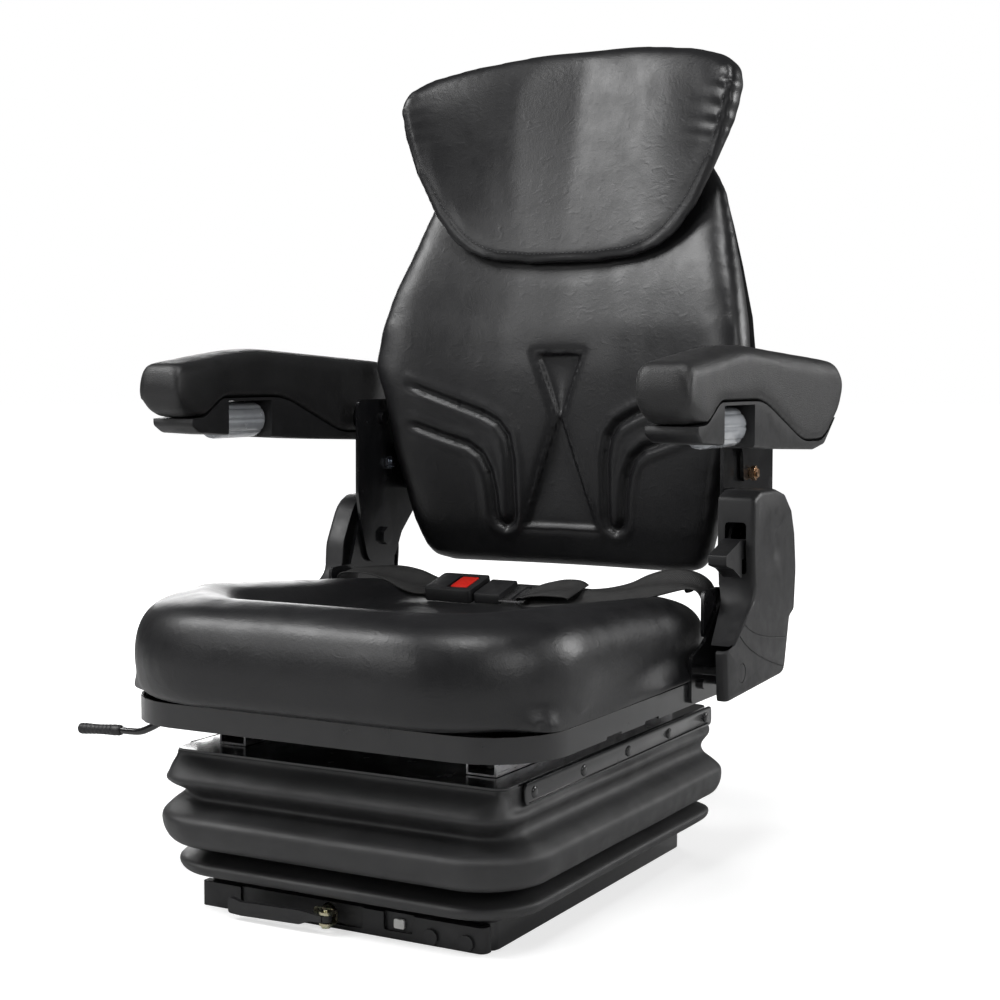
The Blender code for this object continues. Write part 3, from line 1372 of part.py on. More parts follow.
def armrest_cover(name, plastic, side):
    """The lower moulding: hollow round the bar and open where the wheel turns."""
    inner, outer = ARMREST_INNER + 0.002, ARMREST_INNER + ARMREST_WIDTH - 0.002
    middle = (inner + outer) / 2

    def ring(x, inset):
        under = [
            (0.2540 - inset, 0.4755 + inset * 0.3, 0.012),
            (0.2200, 0.4700 + inset, 0.030),
            (0.1200, 0.4740 + inset, 0),
            (-0.0500, 0.4840 + inset, 0),
            (-0.1000, 0.4875 + inset, 0.012),
            (-0.1150 + inset, 0.4970, 0.005),
        ]
        outline = rounded([(y, z, 0) for y, z in ARMREST_SPLIT] + under, 3)
        return [Vector((side * x, y, z)) for y, z in outline]

    edge = 0.0030
    rings = [(inner, edge), (inner + edge / 3, edge / 3), (inner + edge, 0)]
    rings += [(outer - edge, 0), (outer - edge / 3, edge / 3), (outer, edge)]
    body = loft([ring(x, inset) for x, inset in rings])
    window = box(
        *sorted((side * (inner - 0.01), side * (outer + 0.01))),
        WHEEL_FRONT - RUN_GAP,
        WHEEL_FRONT + WHEEL_LENGTH + RUN_GAP,
        0.46,
        WHEEL_Z + WHEEL_RADIUS + RUN_GAP,
    )
    bar_front = WHEEL_FRONT + WHEEL_LENGTH + 2 * RUN_GAP
    slot = box(
        *sorted((side * (middle - BAR_HALF - FIT_GAP), side * (middle + BAR_HALF + FIT_GAP))),
        bar_front - 0.004,
        ARM_HINGE_Y + 0.012,
        WHEEL_Z - BAR_HALF - FIT_GAP,
        WHEEL_Z + BAR_HALF + FIT_GAP,
    )
    tip = WHEEL_FRONT - 0.028 - FIT_GAP
    bore = rod((side * middle, bar_front, WHEEL_Z), (side * middle, tip, WHEEL_Z), SPINDLE_RADIUS + FIT_GAP)
    y, z = ARM_HINGE_Y, ARM_HINGE_Z
    mouth = rod((side * (inner - 0.02), y, z), (side * (middle + 0.0104), y, z), 0.012 + FIT_GAP)
    fuse(name, plastic, [body], [window, slot, bore, mouth])


def armrest_pad(name, vinyl, side):
    """The padded top, drawn as cuts across the width with rounded edges above and round the nose."""
    inner, outer = ARMREST_INNER, ARMREST_INNER + ARMREST_WIDTH
    lift = FIT_GAP * 1.5
    lower = [(y, z + lift, 0) for y, z in ARMREST_SPLIT]
    upper = [
        (0.3030, 0.5130, 0.020),
        (ARMREST_REAR, 0.5550, 0.014),
        (0.2980, 0.5700, 0.030),
        (0.0100, 0.5850, 0.300),
        (ARMREST_FRONT + 0.006, 0.5670, 0.012),
        (ARMREST_FRONT, 0.5400, 0.020),
        (ARMREST_FRONT + 0.010, 0.5120, 0.016),
    ]
    outline = rounded(lower + upper, 3)
    nose = ARMREST_FRONT + 0.034

    def ring(x, shrink):
        points = []
        for y, z in outline:
            ahead = 1 - eased(nose, nose + 0.020, y)
            behind = eased(0.285, 0.300, y)
            rise = -shrink if z > 0.532 else shrink * ahead
            points.append(Vector((side * x, y + shrink * 0.35 * (ahead - behind), z + rise)))
        return points

    rings = []
    for across, shrink in ((0, 0.0130), (0.0020, 0.0080), (0.0055, 0.0035), (0.0120, 0.0008)):
        rings.append((across, shrink))
    rings = rings + [(ARMREST_WIDTH - across, shrink) for across, shrink in reversed(rings)]
    y, z = ARM_HINGE_Y, ARM_HINGE_Z
    boss = rod((side * (inner - 0.02), y, z), (side * (outer - 0.016), y, z), 0.012 + 2 * FIT_GAP)
    middle = (inner + outer) / 2
    bar = box(
        *sorted((side * (middle - BAR_HALF - FIT_GAP), side * (middle + BAR_HALF + FIT_GAP))),
        0.10,
        ARM_HINGE_Y + 0.013,
        0.470,
        WHEEL_Z + BAR_HALF + FIT_GAP,
    )
    solid = loft([ring(inner + across, shrink) for across, shrink in rings])
    fuse(name, vinyl, [solid], [boss, bar], smooth=45)


def armrest_wheel(name, grey, side):
    middle = ARMREST_INNER + ARMREST_WIDTH / 2
    start = (side * middle, WHEEL_FRONT, WHEEL_Z)
    end = (side * middle, WHEEL_FRONT + WHEEL_LENGTH, WHEEL_Z)
    edge = 0.0015 / WHEEL_LENGTH
    chamfered = WHEEL_RADIUS - 0.0015
    profile = [(0, chamfered), (edge, WHEEL_RADIUS), (1 - edge, WHEEL_RADIUS), (1, chamfered)]
    drum = revolved(start, end, profile, 20)
    past = Vector((0, 0.01, 0))
    bore = rod(Vector(start) - past, Vector(end) + past, SPINDLE_RADIUS + RUN_GAP / 2)
    fuse(name, grey, [drum], [bore], origin=start)


# Belt


def webbing(path, width):
    """A flat strap. The path gives x, z and the y of the middle, and the strap lies level across."""
    rings = []
    for i, (x, y, z) in enumerate(path):
        before, after = path[max(i - 1, 0)], path[min(i + 1, len(path) - 1)]
        along = Vector((after[0] - before[0], 0, after[2] - before[2])).normalized()
        up = Vector((-along.z, 0, along.x)) * WEBBING_THICKNESS / 2
        across = Vector((0, width / 2, 0))
        middle = Vector((x, y, z))
        rings.append([middle - across - up, middle + across - up, middle + across + up, middle - across + up])
    return loft(rings)


def belt_floor(x, y):
    """The height of the cushion under the belt, with a little air."""
    half = CUSHION_REAR_WIDTH / 2
    rim = cushion_height(y, CUSHION_TOP, CUSHION_REAR_TOP)
    climb = eased(half - CUSHION_ROLL, half - CUSHION_ROLL + 0.055, abs(x))
    return CUSHION_WELL + (rim - CUSHION_WELL) * climb + 0.0035


def belt(web, plastic, red, steel):
    half = CUSHION_REAR_WIDTH / 2
    end = PLATE_X - FIT_GAP - 0.003 - FIT_GAP - WEBBING_THICKNESS / 2
    buckle_z = belt_floor(0, BELT_Y)
    first = CUSHION_ROLL - half  # the buckle's outer end lies at the edge of the well
    straps = (("belt_webbing_right", -1, 0.006 - first), ("belt_webbing_left", 1, first + 0.1724))
    for name, side, start in straps:
        path = []
        for step in range(9):
            x = start + (half - 0.030 - start) * step / 8
            arch = BELT_ARCH * math.sin(math.pi * step / 8)
            path.append((side * x, BELT_Y, max(belt_floor(x, BELT_Y), buckle_z) + 0.001 + arch))
        crest = path[-1][2] + 0.0015
        path[-1] = (*path[-1][:2], crest)
        path.append((side * (half - 0.012), BELT_Y, crest))
        path.append((side * (end - 0.0015), BELT_Y, crest - 0.0035))
        path.append((side * end, BELT_Y, crest - 0.0120))
        path.append((side * end, BELT_Y, crest - 0.0260))
        fuse(name, web, [webbing(path, WEBBING_WIDTH)])
    low = CUSHION_WELL + FIT_GAP
    body = rounded_box(first, first + 0.064, BELT_Y - 0.027, BELT_Y + 0.027, low, low + 0.019, 0.006)
    throat = box(first + 0.050, first + 0.072, BELT_Y - 0.0175, BELT_Y + 0.0175, low + 0.006, low + 0.0105)
    well = box(first + 0.038, first + 0.072, BELT_Y - 0.0160, BELT_Y + 0.0160, low + 0.0125, low + 0.030)
    slack = WEBBING_WIDTH / 2 + 0.002
    tail = box(first - 0.018, first + 0.0075, BELT_Y - slack, BELT_Y + slack, low + 0.0015, low + 0.0075)
    fuse("belt_buckle", plastic, [body], [throat, well, tail])
    press = rounded_box(
        first + 0.0385 + RUN_GAP * 4,
        first + 0.0625,
        BELT_Y - 0.0155,
        BELT_Y + 0.0155,
        low + 0.0130,
        low + 0.0185,
        0.002,
        "Y",
    )
    fuse("belt_button", red, [press], origin=(first + 0.0505, BELT_Y, low + 0.0157))

    def across(start, end, half_width):
        return first + start, first + end, BELT_Y - half_width, BELT_Y + half_width

    tongue_top = rounded_box(*across(0.066, 0.102, 0.025), low, low + 0.0140, 0.005)
    blade = box(*across(0.052, 0.072, 0.0155), low + 0.0072, low + 0.0094)
    loop = rounded_box(*across(0.100, 0.132, 0.026), low + 0.0030, low + 0.0062, 0.003)
    opening = box(*across(0.114, 0.126, 0.0235), low - 0.01, low + 0.02)
    fuse("belt_tongue", steel, [tongue_top, blade, loop], [opening])
    fold = rounded_box(*across(0.136, 0.172, 0.024), low, low + 0.0090, 0.003, "Y")
    fuse("belt_keeper", plastic, [fold])


def build():
    clear_scene()
    black_steel = material("black_steel", (0.012, 0.012, 0.013), 0.28, 0.4)
    bare_steel = material("bare_steel", (0.42, 0.42, 0.43), 0.35, 1.0)
    zinc = material("zinc", (0.62, 0.62, 0.58), 0.30, 1.0)
    plastic = material("black_plastic", (0.016, 0.016, 0.017), 0.55)
    rubber = material("bellows_rubber", (0.014, 0.014, 0.015), 0.50)
    vinyl = material("black_vinyl", (0.010, 0.010, 0.011), 0.33)
    foam_skin = material("armrest_skin", (0.016, 0.016, 0.017), 0.45)
    grey = material("grey_wheel", (0.42, 0.43, 0.45), 0.25)
    white = material("white_window", (0.75, 0.75, 0.74), 0.45)
    red = material("red_button", (0.62, 0.020, 0.014), 0.35)
    web = material("black_webbing", (0.014, 0.014, 0.015), 0.75)

    lower_frame(black_steel)
    front_housing(plastic)
    weight_window(white)
    weight_adjuster(zinc, plastic)
    scissor(black_steel)
    outer_end = OUTER_ARM_X + ARM_THICKNESS
    inner_end = INNER_ARM_X + ARM_THICKNESS
    for name, z, roller in (
        ("upper_axle", UPPER_PIVOT_Z, outer_end + RUN_GAP),
        ("lower_axle", LOWER_PIVOT_Z, inner_end + RUN_GAP),
    ):
        axle_with_rollers(name, bare_steel, -ARM_PIVOT_Y, z, roller, roller + ROLLER_WIDTH)
    pivot_rod("lower_pivot", bare_steel, ARM_PIVOT_Y, LOWER_PIVOT_Z, outer_end + RUN_GAP + 0.004 + FIT_GAP)
    pivot_rod("upper_pivot", bare_steel, ARM_PIVOT_Y, UPPER_PIVOT_Z, inner_end + RUN_GAP + 0.004 + FIT_GAP)
    spring("spring_left", black_steel, SPRING_X)
    spring("spring_right", black_steel, -SPRING_X)
    damper(black_steel, bare_steel)
    upper_frame(black_steel)
    bellows(rubber)
    rails(bare_steel, black_steel)
    slide_lever(black_steel, plastic)
    seat_pan(black_steel)
    seat_cushion(vinyl)
    for label, side in (("left", 1), ("right", -1)):
        trim_strip(f"trim_strip_{label}", black_steel, side)
        depth = COVER_DEPTH if side > 0 else PLAIN_COVER_DEPTH
        hinge_bracket(f"hinge_bracket_{label}", black_steel, side, depth)
        hinge_cover(f"hinge_cover_{label}", plastic, side, depth)
        back_side_plate(f"back_plate_{label}", black_steel, side)
        recliner_bolt(f"recliner_bolt_{label}", zinc, side)
        stop_bolt(f"stop_bolt_{label}", zinc, side)
        armrest_bracket(f"armrest_bracket_{label}", black_steel, side)
        armrest_bolt(f"armrest_bolt_{label}", zinc, side)
        armrest_cover(f"armrest_cover_{label}", plastic, side)
        armrest_pad(f"armrest_pad_{label}", foam_skin, side)
        armrest_wheel(f"armrest_wheel_{label}", grey, side)
    recline_lever(plastic)
    back_cushion(vinyl)
    back_shell(plastic)
    headrest_carrier(black_steel)
    headrest_pad(vinyl)
    belt(web, plastic, red, bare_steel)


build()
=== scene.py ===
import math

import bmesh
import bpy
from mathutils import Matrix, Vector, noise
from mathutils.bvhtree import BVHTree
from mathutils.kdtree import KDTree


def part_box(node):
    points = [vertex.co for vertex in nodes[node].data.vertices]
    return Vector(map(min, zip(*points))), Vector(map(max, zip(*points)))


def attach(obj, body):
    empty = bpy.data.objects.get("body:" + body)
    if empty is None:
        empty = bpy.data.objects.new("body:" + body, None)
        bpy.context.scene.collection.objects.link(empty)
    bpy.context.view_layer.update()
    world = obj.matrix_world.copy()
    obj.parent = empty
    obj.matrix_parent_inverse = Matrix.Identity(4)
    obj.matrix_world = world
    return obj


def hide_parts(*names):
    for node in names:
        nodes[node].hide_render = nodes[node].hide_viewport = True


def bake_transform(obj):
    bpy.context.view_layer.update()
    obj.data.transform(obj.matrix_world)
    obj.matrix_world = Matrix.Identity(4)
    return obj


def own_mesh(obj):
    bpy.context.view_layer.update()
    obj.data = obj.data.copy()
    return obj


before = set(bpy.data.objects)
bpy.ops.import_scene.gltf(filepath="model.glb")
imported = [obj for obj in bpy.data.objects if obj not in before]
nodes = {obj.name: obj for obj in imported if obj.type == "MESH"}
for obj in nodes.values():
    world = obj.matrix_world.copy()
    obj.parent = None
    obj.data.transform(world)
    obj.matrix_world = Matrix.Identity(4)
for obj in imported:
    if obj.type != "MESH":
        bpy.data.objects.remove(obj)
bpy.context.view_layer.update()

scene = bpy.context.scene


class Finish:
    """A material whose nodes are added one after another."""

    def __init__(self, name, colour, roughness, metallic=0.0):
        self.material = bpy.data.materials.new(name)
        self.material.use_nodes = True
        self.tree = self.material.node_tree
        self.shader = self.tree.nodes["Principled BSDF"]
        self.shader.inputs["Base Color"].default_value = (*colour, 1.0)
        self.shader.inputs["Roughness"].default_value = roughness
        self.shader.inputs["Metallic"].default_value = metallic
        self.colour = colour
        self.height = None
        self.place = self.tree.nodes.new("ShaderNodeTexCoord").outputs["Object"]

    def node(self, kind, **settings):
        made = self.tree.nodes.new(kind)
        for key, value in settings.items():
            setattr(made, key, value)
        return made

    def link(self, start, end):
        self.tree.links.new(start, end)

    def stretched(self, scale):
        """The place with each axis multiplied."""
        mapping = self.node("ShaderNodeMapping")
        mapping.inputs["Scale"].default_value = scale
        self.link(self.place, mapping.inputs["Vector"])
        return mapping.outputs["Vector"]

    def noise(self, scale, detail=3.0, rough=0.5, stretch=(1, 1, 1)):
        made = self.node("ShaderNodeTexNoise")
        made.inputs["Scale"].default_value = scale
        made.inputs["Detail"].default_value = detail
        made.inputs["Roughness"].default_value = rough
        self.link(self.stretched(stretch), made.inputs["Vector"])
        return made.outputs["Fac"]

    def cells(self, scale):
        made = self.node("ShaderNodeTexVoronoi")
        made.inputs["Scale"].default_value = scale
        self.link(self.place, made.inputs["Vector"])
        return made.outputs["Distance"]

    def ramp(self, source, low, high, first, last):
        """The source's low to high read as first to last."""
        made = self.node("ShaderNodeMapRange")
        made.inputs["From Min"].default_value = low
        made.inputs["From Max"].default_value = high
        made.inputs["To Min"].default_value = first
        made.inputs["To Max"].default_value = last
        self.link(source, made.inputs["Value"])
        return made.outputs["Result"]

    def tint(self, source, low, high, other):
        """Blends the colour so far towards the other one as the source goes from low to high."""
        mix = self.node("ShaderNodeMix", data_type="RGBA")
        self.link(self.ramp(source, low, high, 0.0, 1.0), mix.inputs["Factor"])
        current = self.shader.inputs["Base Color"]
        if current.is_linked:
            self.link(current.links[0].from_socket, mix.inputs["A"])
        else:
            mix.inputs["A"].default_value = (*self.colour, 1.0)
        mix.inputs["B"].default_value = (*other, 1.0)
        self.link(mix.outputs["Result"], current)

    def dull(self, source, low, high, first, last):
        """Roughness from first to last as the source goes from low to high."""
        self.link(self.ramp(source, low, high, first, last), self.shader.inputs["Roughness"])

    def creases(self, scale, stretch=(1, 1, 1), distortion=0.0):
        """Fine branching lines."""
        made = self.node("ShaderNodeTexNoise", noise_type="RIDGED_MULTIFRACTAL", normalize=True)
        made.inputs["Scale"].default_value = scale
        made.inputs["Detail"].default_value = 3.0
        made.inputs["Distortion"].default_value = distortion
        self.link(self.stretched(stretch), made.inputs["Vector"])
        return made.outputs["Fac"]

    def relief(self, source, depth, strength=1.0):
        """Bump from the source, whose full swing is depth in metres."""
        bump = self.node("ShaderNodeBump")
        bump.inputs["Strength"].default_value = strength
        bump.inputs["Distance"].default_value = depth
        self.link(source, bump.inputs["Height"])
        if self.height:
            self.link(self.height, bump.inputs["Normal"])
        self.height = bump.outputs["Normal"]
        self.link(self.height, self.shader.inputs["Normal"])


# The studio: a plain pale floor, a near-white surround and large soft lamps, with the camera at the photograph's
# angle, a little above the cushion and to the sitter's left of the middle.
scene.view_settings.view_transform = "Standard"
camera_data = bpy.data.cameras.new("camera")
camera_data.lens = 64.46
camera_data.sensor_width = 36.0
camera = bpy.data.objects.new("camera", camera_data)
camera.location = (0.9975, -1.6924, 0.5555)
camera.rotation_euler = (math.radians(85.93), 0.0, math.radians(29.142))
scene.collection.objects.link(camera)
scene.camera = camera

world = bpy.data.worlds.new("studio")
world.use_nodes = True
surround = world.node_tree.nodes["Background"]
surround.inputs["Color"].default_value = (1.0, 1.0, 1.0, 1.0)
seen = world.node_tree.nodes.new("ShaderNodeLightPath")
level = world.node_tree.nodes.new("ShaderNodeMapRange")
level.inputs["To Min"].default_value = 0.07
level.inputs["To Max"].default_value = 1.0
world.node_tree.links.new(seen.outputs["Is Camera Ray"], level.inputs["Value"])
world.node_tree.links.new(level.outputs["Result"], surround.inputs["Strength"])
scene.world = world

floor_bm = bmesh.new()
bmesh.ops.create_circle(floor_bm, cap_ends=True, segments=96, radius=30.0)
floor_mesh = bpy.data.meshes.new("floor")
floor_bm.to_mesh(floor_mesh)
floor_bm.free()
floor = bpy.data.objects.new("floor", floor_mesh)
scene.collection.objects.link(floor)
floor_paint = Finish("pale_floor", (0.62, 0.62, 0.62), 0.8)
floor_paint.shader.inputs["Specular IOR Level"].default_value = 0.1
floor_paint.shader.inputs["Emission Color"].default_value = (1.0, 1.0, 1.0, 1.0)
# the sweep glows evenly for the camera, less right under the seat, where it takes a soft shadow
floor_reach = floor_paint.node("ShaderNodeVectorMath", operation="LENGTH")
floor_paint.link(floor_paint.place, floor_reach.inputs[0])
floor_glow = floor_paint.ramp(floor_reach.outputs["Value"], 0.25, 1.6, 0.62, 0.98)
floor_glow.node.interpolation_type = "SMOOTHSTEP"
floor_share = floor_paint.node("ShaderNodeMath", operation="MULTIPLY")
floor_paint.link(floor_glow, floor_share.inputs[0])
floor_paint.link(floor_paint.node("ShaderNodeLightPath").outputs["Is Camera Ray"], floor_share.inputs[1])
floor_paint.link(floor_share.outputs["Value"], floor_paint.shader.inputs["Emission Strength"])
floor_mesh.materials.append(floor_paint.material)

for lamp_name, place, aim, size, power in (
    ("key_lamp", (-2.0, -1.4, 2.7), (0.0, -0.1, 0.40), 1.4, 68.0),
    ("front_lamp", (-1.5, -3.0, 1.6), (0.0, 0.0, 0.40), 1.3, 21.0),
    ("top_lamp", (0.7, -0.9, 3.1), (0.0, 0.0, 0.40), 1.0, 42.0),
    ("right_lamp", (2.7, -0.9, 1.5), (0.0, 0.0, 0.40), 1.2, 20.0),
    ("rear_lamp", (-2.2, 2.2, 1.0), (0.0, 0.0, 0.40), 1.4, 26.0),
    ("edge_lamp", (1.9, 1.9, 1.2), (0.0, 0.0, 0.45), 1.1, 28.0),
):
    lamp = bpy.data.lights.new(lamp_name, "AREA")
    lamp.shape = "DISK"
    lamp.size = size
    lamp.energy = power
    lamp_object = bpy.data.objects.new(lamp_name, lamp)
    lamp_object.location = place
    lamp_object.rotation_euler = (Vector(aim) - Vector(place)).to_track_quat("-Z", "Y").to_euler()
    scene.collection.objects.link(lamp_object)


# The lower frame: a folded tray of sheet steel under gloss black enamel, with the scissor linkage, its axles and the
# damper inside. Each is bolted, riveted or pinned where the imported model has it.
rounded_shading = bpy.data.node_groups.new("rounded_shading", "GeometryNodeTree")
rounded_shading.interface.new_socket("Geometry", in_out="INPUT", socket_type="NodeSocketGeometry")
rounded_shading.interface.new_socket("Geometry", in_out="OUTPUT", socket_type="NodeSocketGeometry")
shading_start = rounded_shading.nodes.new("NodeGroupInput")
shading_plain = rounded_shading.nodes.new("GeometryNodeRemoveAttribute")
shading_plain.inputs["Name"].default_value = "custom_normal"
shading_smooth = rounded_shading.nodes.new("GeometryNodeSetShadeSmooth")
shading_end = rounded_shading.nodes.new("NodeGroupOutput")
rounded_shading.links.new(shading_start.outputs[0], shading_plain.inputs[0])
rounded_shading.links.new(shading_plain.outputs[0], shading_smooth.inputs[0])
rounded_shading.links.new(shading_smooth.outputs[0], shading_end.inputs[0])


def dress(name, finish, edge=0.0006):
    """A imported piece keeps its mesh, and gets its finish, smooth curves and a small rounding on its edges."""
    piece = nodes[name]
    for material_slot in piece.material_slots:
        material_slot.material = finish.material
    weld = piece.modifiers.new("weld", "WELD")
    weld.merge_threshold = 0.00001
    if edge:
        shade = piece.modifiers.new("curves", "NODES")
        shade.node_group = rounded_shading
        bevel = piece.modifiers.new("edges", "BEVEL")
        bevel.width = edge
        bevel.segments = 2
        bevel.limit_method = "ANGLE"
        bevel.angle_limit = math.radians(32)
        bevel.harden_normals = True
    return piece


enamel = Finish("gloss_black_enamel", (0.0080, 0.0080, 0.0090), 0.20)
enamel.shader.inputs["Coat Weight"].default_value = 0.30
enamel.shader.inputs["Coat Roughness"].default_value = 0.12
enamel.tint(enamel.noise(70.0, 5.0, 0.6), 0.50, 0.80, (0.014, 0.014, 0.015))
enamel.dull(enamel.noise(34.0, 4.0, 0.6), 0.30, 0.75, 0.16, 0.30)
enamel.relief(enamel.noise(300.0, 2.0), 0.00005, 0.4)
enamel.relief(enamel.noise(9.0, 2.0), 0.0012, 0.12)

bright_steel = Finish("bright_steel", (0.40, 0.40, 0.41), 0.32, 1.0)
bright_steel.tint(bright_steel.noise(60.0, 5.0, 0.6), 0.45, 0.75, (0.24, 0.235, 0.23))
bright_steel.dull(bright_steel.noise(900.0, 2.0, 0.5, (1, 0.04, 1)), 0.3, 0.7, 0.24, 0.42)
bright_steel.relief(bright_steel.noise(1400.0, 2.0, 0.5, (1, 0.03, 1)), 0.00003, 0.5)

zinc = Finish("passivated_zinc", (0.56, 0.52, 0.36), 0.28, 1.0)
zinc.tint(zinc.noise(140.0, 3.0), 0.42, 0.62, (0.46, 0.52, 0.38))
zinc.tint(zinc.noise(95.0, 3.0), 0.50, 0.72, (0.62, 0.50, 0.38))
zinc.dull(zinc.noise(260.0, 3.0), 0.3, 0.7, 0.20, 0.38)
zinc.relief(zinc.noise(800.0, 2.0), 0.00003, 0.5)

for name in ("lower_frame", "upper_frame", "outer_arms", "inner_arms", "damper_tube"):
    dress(name, enamel)
for name in ("lower_axle", "upper_axle", "lower_pivot", "upper_pivot", "damper_rod"):
    dress(name, bright_steel, 0.0004)


# The front housing: a moulded plastic cover on the lower frame's front wall, with the white weight scale in its
# window. A zinc yoke turns in it, and a folding plastic lever on the yoke's pin sets the sitter's weight.
moulding = Finish("grained_black_plastic", (0.0125, 0.0125, 0.0135), 0.46)
moulding.tint(moulding.noise(26.0, 5.0, 0.6), 0.50, 0.80, (0.022, 0.022, 0.023))
moulding.dull(moulding.noise(70.0, 4.0), 0.3, 0.7, 0.40, 0.56)
moulding.relief(moulding.cells(1150.0), 0.00012, 0.55)
moulding.relief(moulding.noise(2600.0, 2.0), 0.00004, 0.5)

white_plastic = Finish("white_scale", (0.72, 0.72, 0.70), 0.42)
white_plastic.tint(white_plastic.noise(160.0, 3.0), 0.5, 0.8, (0.60, 0.60, 0.57))
white_plastic.relief(white_plastic.noise(900.0, 2.0), 0.00003, 0.5)

dress("front_housing", moulding, 0.0008)
dress("weight_window", white_plastic, 0.0004)
dress("weight_yoke", zinc, 0.0004)
dress("weight_lever", moulding, 0.0010)


# Two coil springs of round enamelled wire, standing between the frames, built at the imported springs' height and
# carried by the base.
def bmesh_piece(name, bm, finish, body, angle=35.0):
    mesh = bpy.data.meshes.new(name)
    bm.to_mesh(mesh)
    bm.free()
    mesh.materials.append(finish.material)
    mesh.shade_smooth()
    mesh.set_sharp_from_angle(angle=math.radians(angle))
    piece = bpy.data.objects.new(name, mesh)
    scene.collection.objects.link(piece)
    if body:
        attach(piece, body)
    return piece


def baked(piece):
    """Applies the piece's modifiers to its mesh."""
    graph = bpy.context.evaluated_depsgraph_get()
    bpy.context.view_layer.update()
    mesh = bpy.data.meshes.new_from_object(piece.evaluated_get(graph))
    piece.modifiers.clear()
    piece.data = mesh
    return piece


spring_wire, spring_radius, spring_turns = 0.0029, 0.024, 4.5
spring_x, spring_y, steps_per_turn = 0.060, 0.045, 28
for label, side in (("left", 1), ("right", -1)):
    low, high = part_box(f"spring_{label}")
    centre = Vector((side * spring_x, spring_y, 0.0))
    rise = (high.z - low.z - 2 * spring_wire) / spring_turns
    bm = bmesh.new()
    bmesh.ops.create_circle(bm, segments=10, radius=spring_wire)
    bmesh.ops.rotate(bm, verts=bm.verts, cent=(0, 0, 0), matrix=Matrix.Rotation(math.pi / 2, 3, "X"))
    bmesh.ops.translate(bm, verts=bm.verts, vec=(centre.x + spring_radius, centre.y, low.z + spring_wire))
    bmesh.ops.spin(
        bm,
        geom=bm.verts[:] + bm.edges[:],
        cent=centre,
        axis=(0, 0, 1),
        dvec=(0, 0, rise / steps_per_turn),
        angle=2 * math.pi * spring_turns,
        steps=int(spring_turns * steps_per_turn),
        use_merge=False,
    )
    bmesh.ops.holes_fill(bm, edges=[edge for edge in bm.edges if edge.is_boundary], sides=12)
    bmesh.ops.recalc_face_normals(bm, faces=bm.faces)
    coil = bmesh_piece(f"coil_spring_{label}", bm, enamel, "base")
    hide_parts(f"spring_{label}")
    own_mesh(coil)


# The bellows: one moulded rubber skin with three folds. Its lower collar grips the lower frame and its upper collar
# hangs from the upper frame's flange, behind the trim strips.
rubber = Finish("bellows_rubber", (0.0230, 0.0230, 0.0238), 0.44)
rubber.tint(rubber.noise(18.0, 5.0, 0.6), 0.45, 0.80, (0.036, 0.036, 0.037))
rubber.dull(rubber.noise(45.0, 4.0), 0.3, 0.7, 0.40, 0.54)
rubber.relief(rubber.noise(1050.0, 3.0, 0.7), 0.00034, 0.85)
rubber.relief(rubber.noise(11.0, 3.0, 0.5), 0.0040, 0.35)


def smooth_step(low, high, value):
    """0 at low, 1 at high and an even curve between them. It runs backwards where low is above high."""
    share = min(1.0, max(0.0, (value - low) / (high - low)))
    return share * share * (3 - 2 * share)


def extruded_ring(bm, edges, ring):
    """Extrudes the loop of edges, and returns its new edges and its new vertices in the order of the old ring."""
    grown = bmesh.ops.extrude_edge_only(bm, edges=edges)["geom"]
    fresh = {part.co.to_tuple(5): part for part in grown if isinstance(part, bmesh.types.BMVert)}
    return (
        [part for part in grown if isinstance(part, bmesh.types.BMEdge)],
        [fresh[vertex.co.to_tuple(5)] for vertex in ring],
    )


lower_half, lower_reach, frame_half = 0.1724, 0.2254, 0.1974
collar_front, collar_rear = 0.2484, 0.2454
taper_start, taper_height = 0.038, 0.100
fold_corner, sharp_corner, corner_easing = 0.034, 0.0126, 0.022
rear_fullness, skin_thickness = 0.80, 0.0022
# height, outward swell at the front and rear, swell at the sides, and how far the corners round off
fold_profile = (
    (0.0272, 0.0006, 0.0006, 0.0), (0.0345, 0.0008, 0.0008, 0.0), (0.0358, 0.0170, 0.0170, 0.4),
    (0.0366, 0.0280, 0.0280, 0.6), (0.0385, 0.0350, 0.0350, 0.8), (0.0425, 0.0385, 0.0385, 1.0),
    (0.0475, 0.0390, 0.0390, 1.0), (0.0512, 0.0362, 0.0362, 1.0), (0.0535, 0.0280, 0.0285, 1.0),
    (0.0570, 0.0110, 0.0120, 1.0), (0.0590, 0.0040, 0.0045, 1.0), (0.0612, 0.0060, 0.0065, 1.0),
    (0.0665, 0.0290, 0.0290, 1.0), (0.0695, 0.0365, 0.0365, 1.0), (0.0745, 0.0402, 0.0402, 1.0),
    (0.0840, 0.0412, 0.0412, 1.0), (0.0935, 0.0400, 0.0400, 1.0), (0.0990, 0.0374, 0.0374, 1.0),
    (0.1030, 0.0310, 0.0325, 1.0), (0.1085, 0.0130, 0.0255, 1.0), (0.1118, 0.0025, 0.0195, 1.0),
    (0.1150, 0.0000, 0.0135, 1.0), (0.1190, 0.0012, 0.0080, 1.0), (0.1255, 0.0090, 0.0046, 1.0),
    (0.1305, 0.0178, 0.0068, 1.0), (0.1345, 0.0222, 0.0084, 1.0), (0.1385, 0.0232, 0.0062, 1.0),
    (0.1425, 0.0212, 0.0016, 0.9), (0.1475, 0.0165, 0.0004, 0.7), (0.1530, 0.0100, 0.0004, 0.4),
    (0.1575, 0.0042, 0.0004, 0.2), (0.1610, 0.0006, 0.0004, 0.0), (0.1640, 0.0004, 0.0004, 0.0),
)
bm = bmesh.new()
bmesh.ops.create_grid(bm, x_segments=1, y_segments=1, size=1.0)
bmesh.ops.delete(bm, geom=bm.faces[:], context="FACES_ONLY")
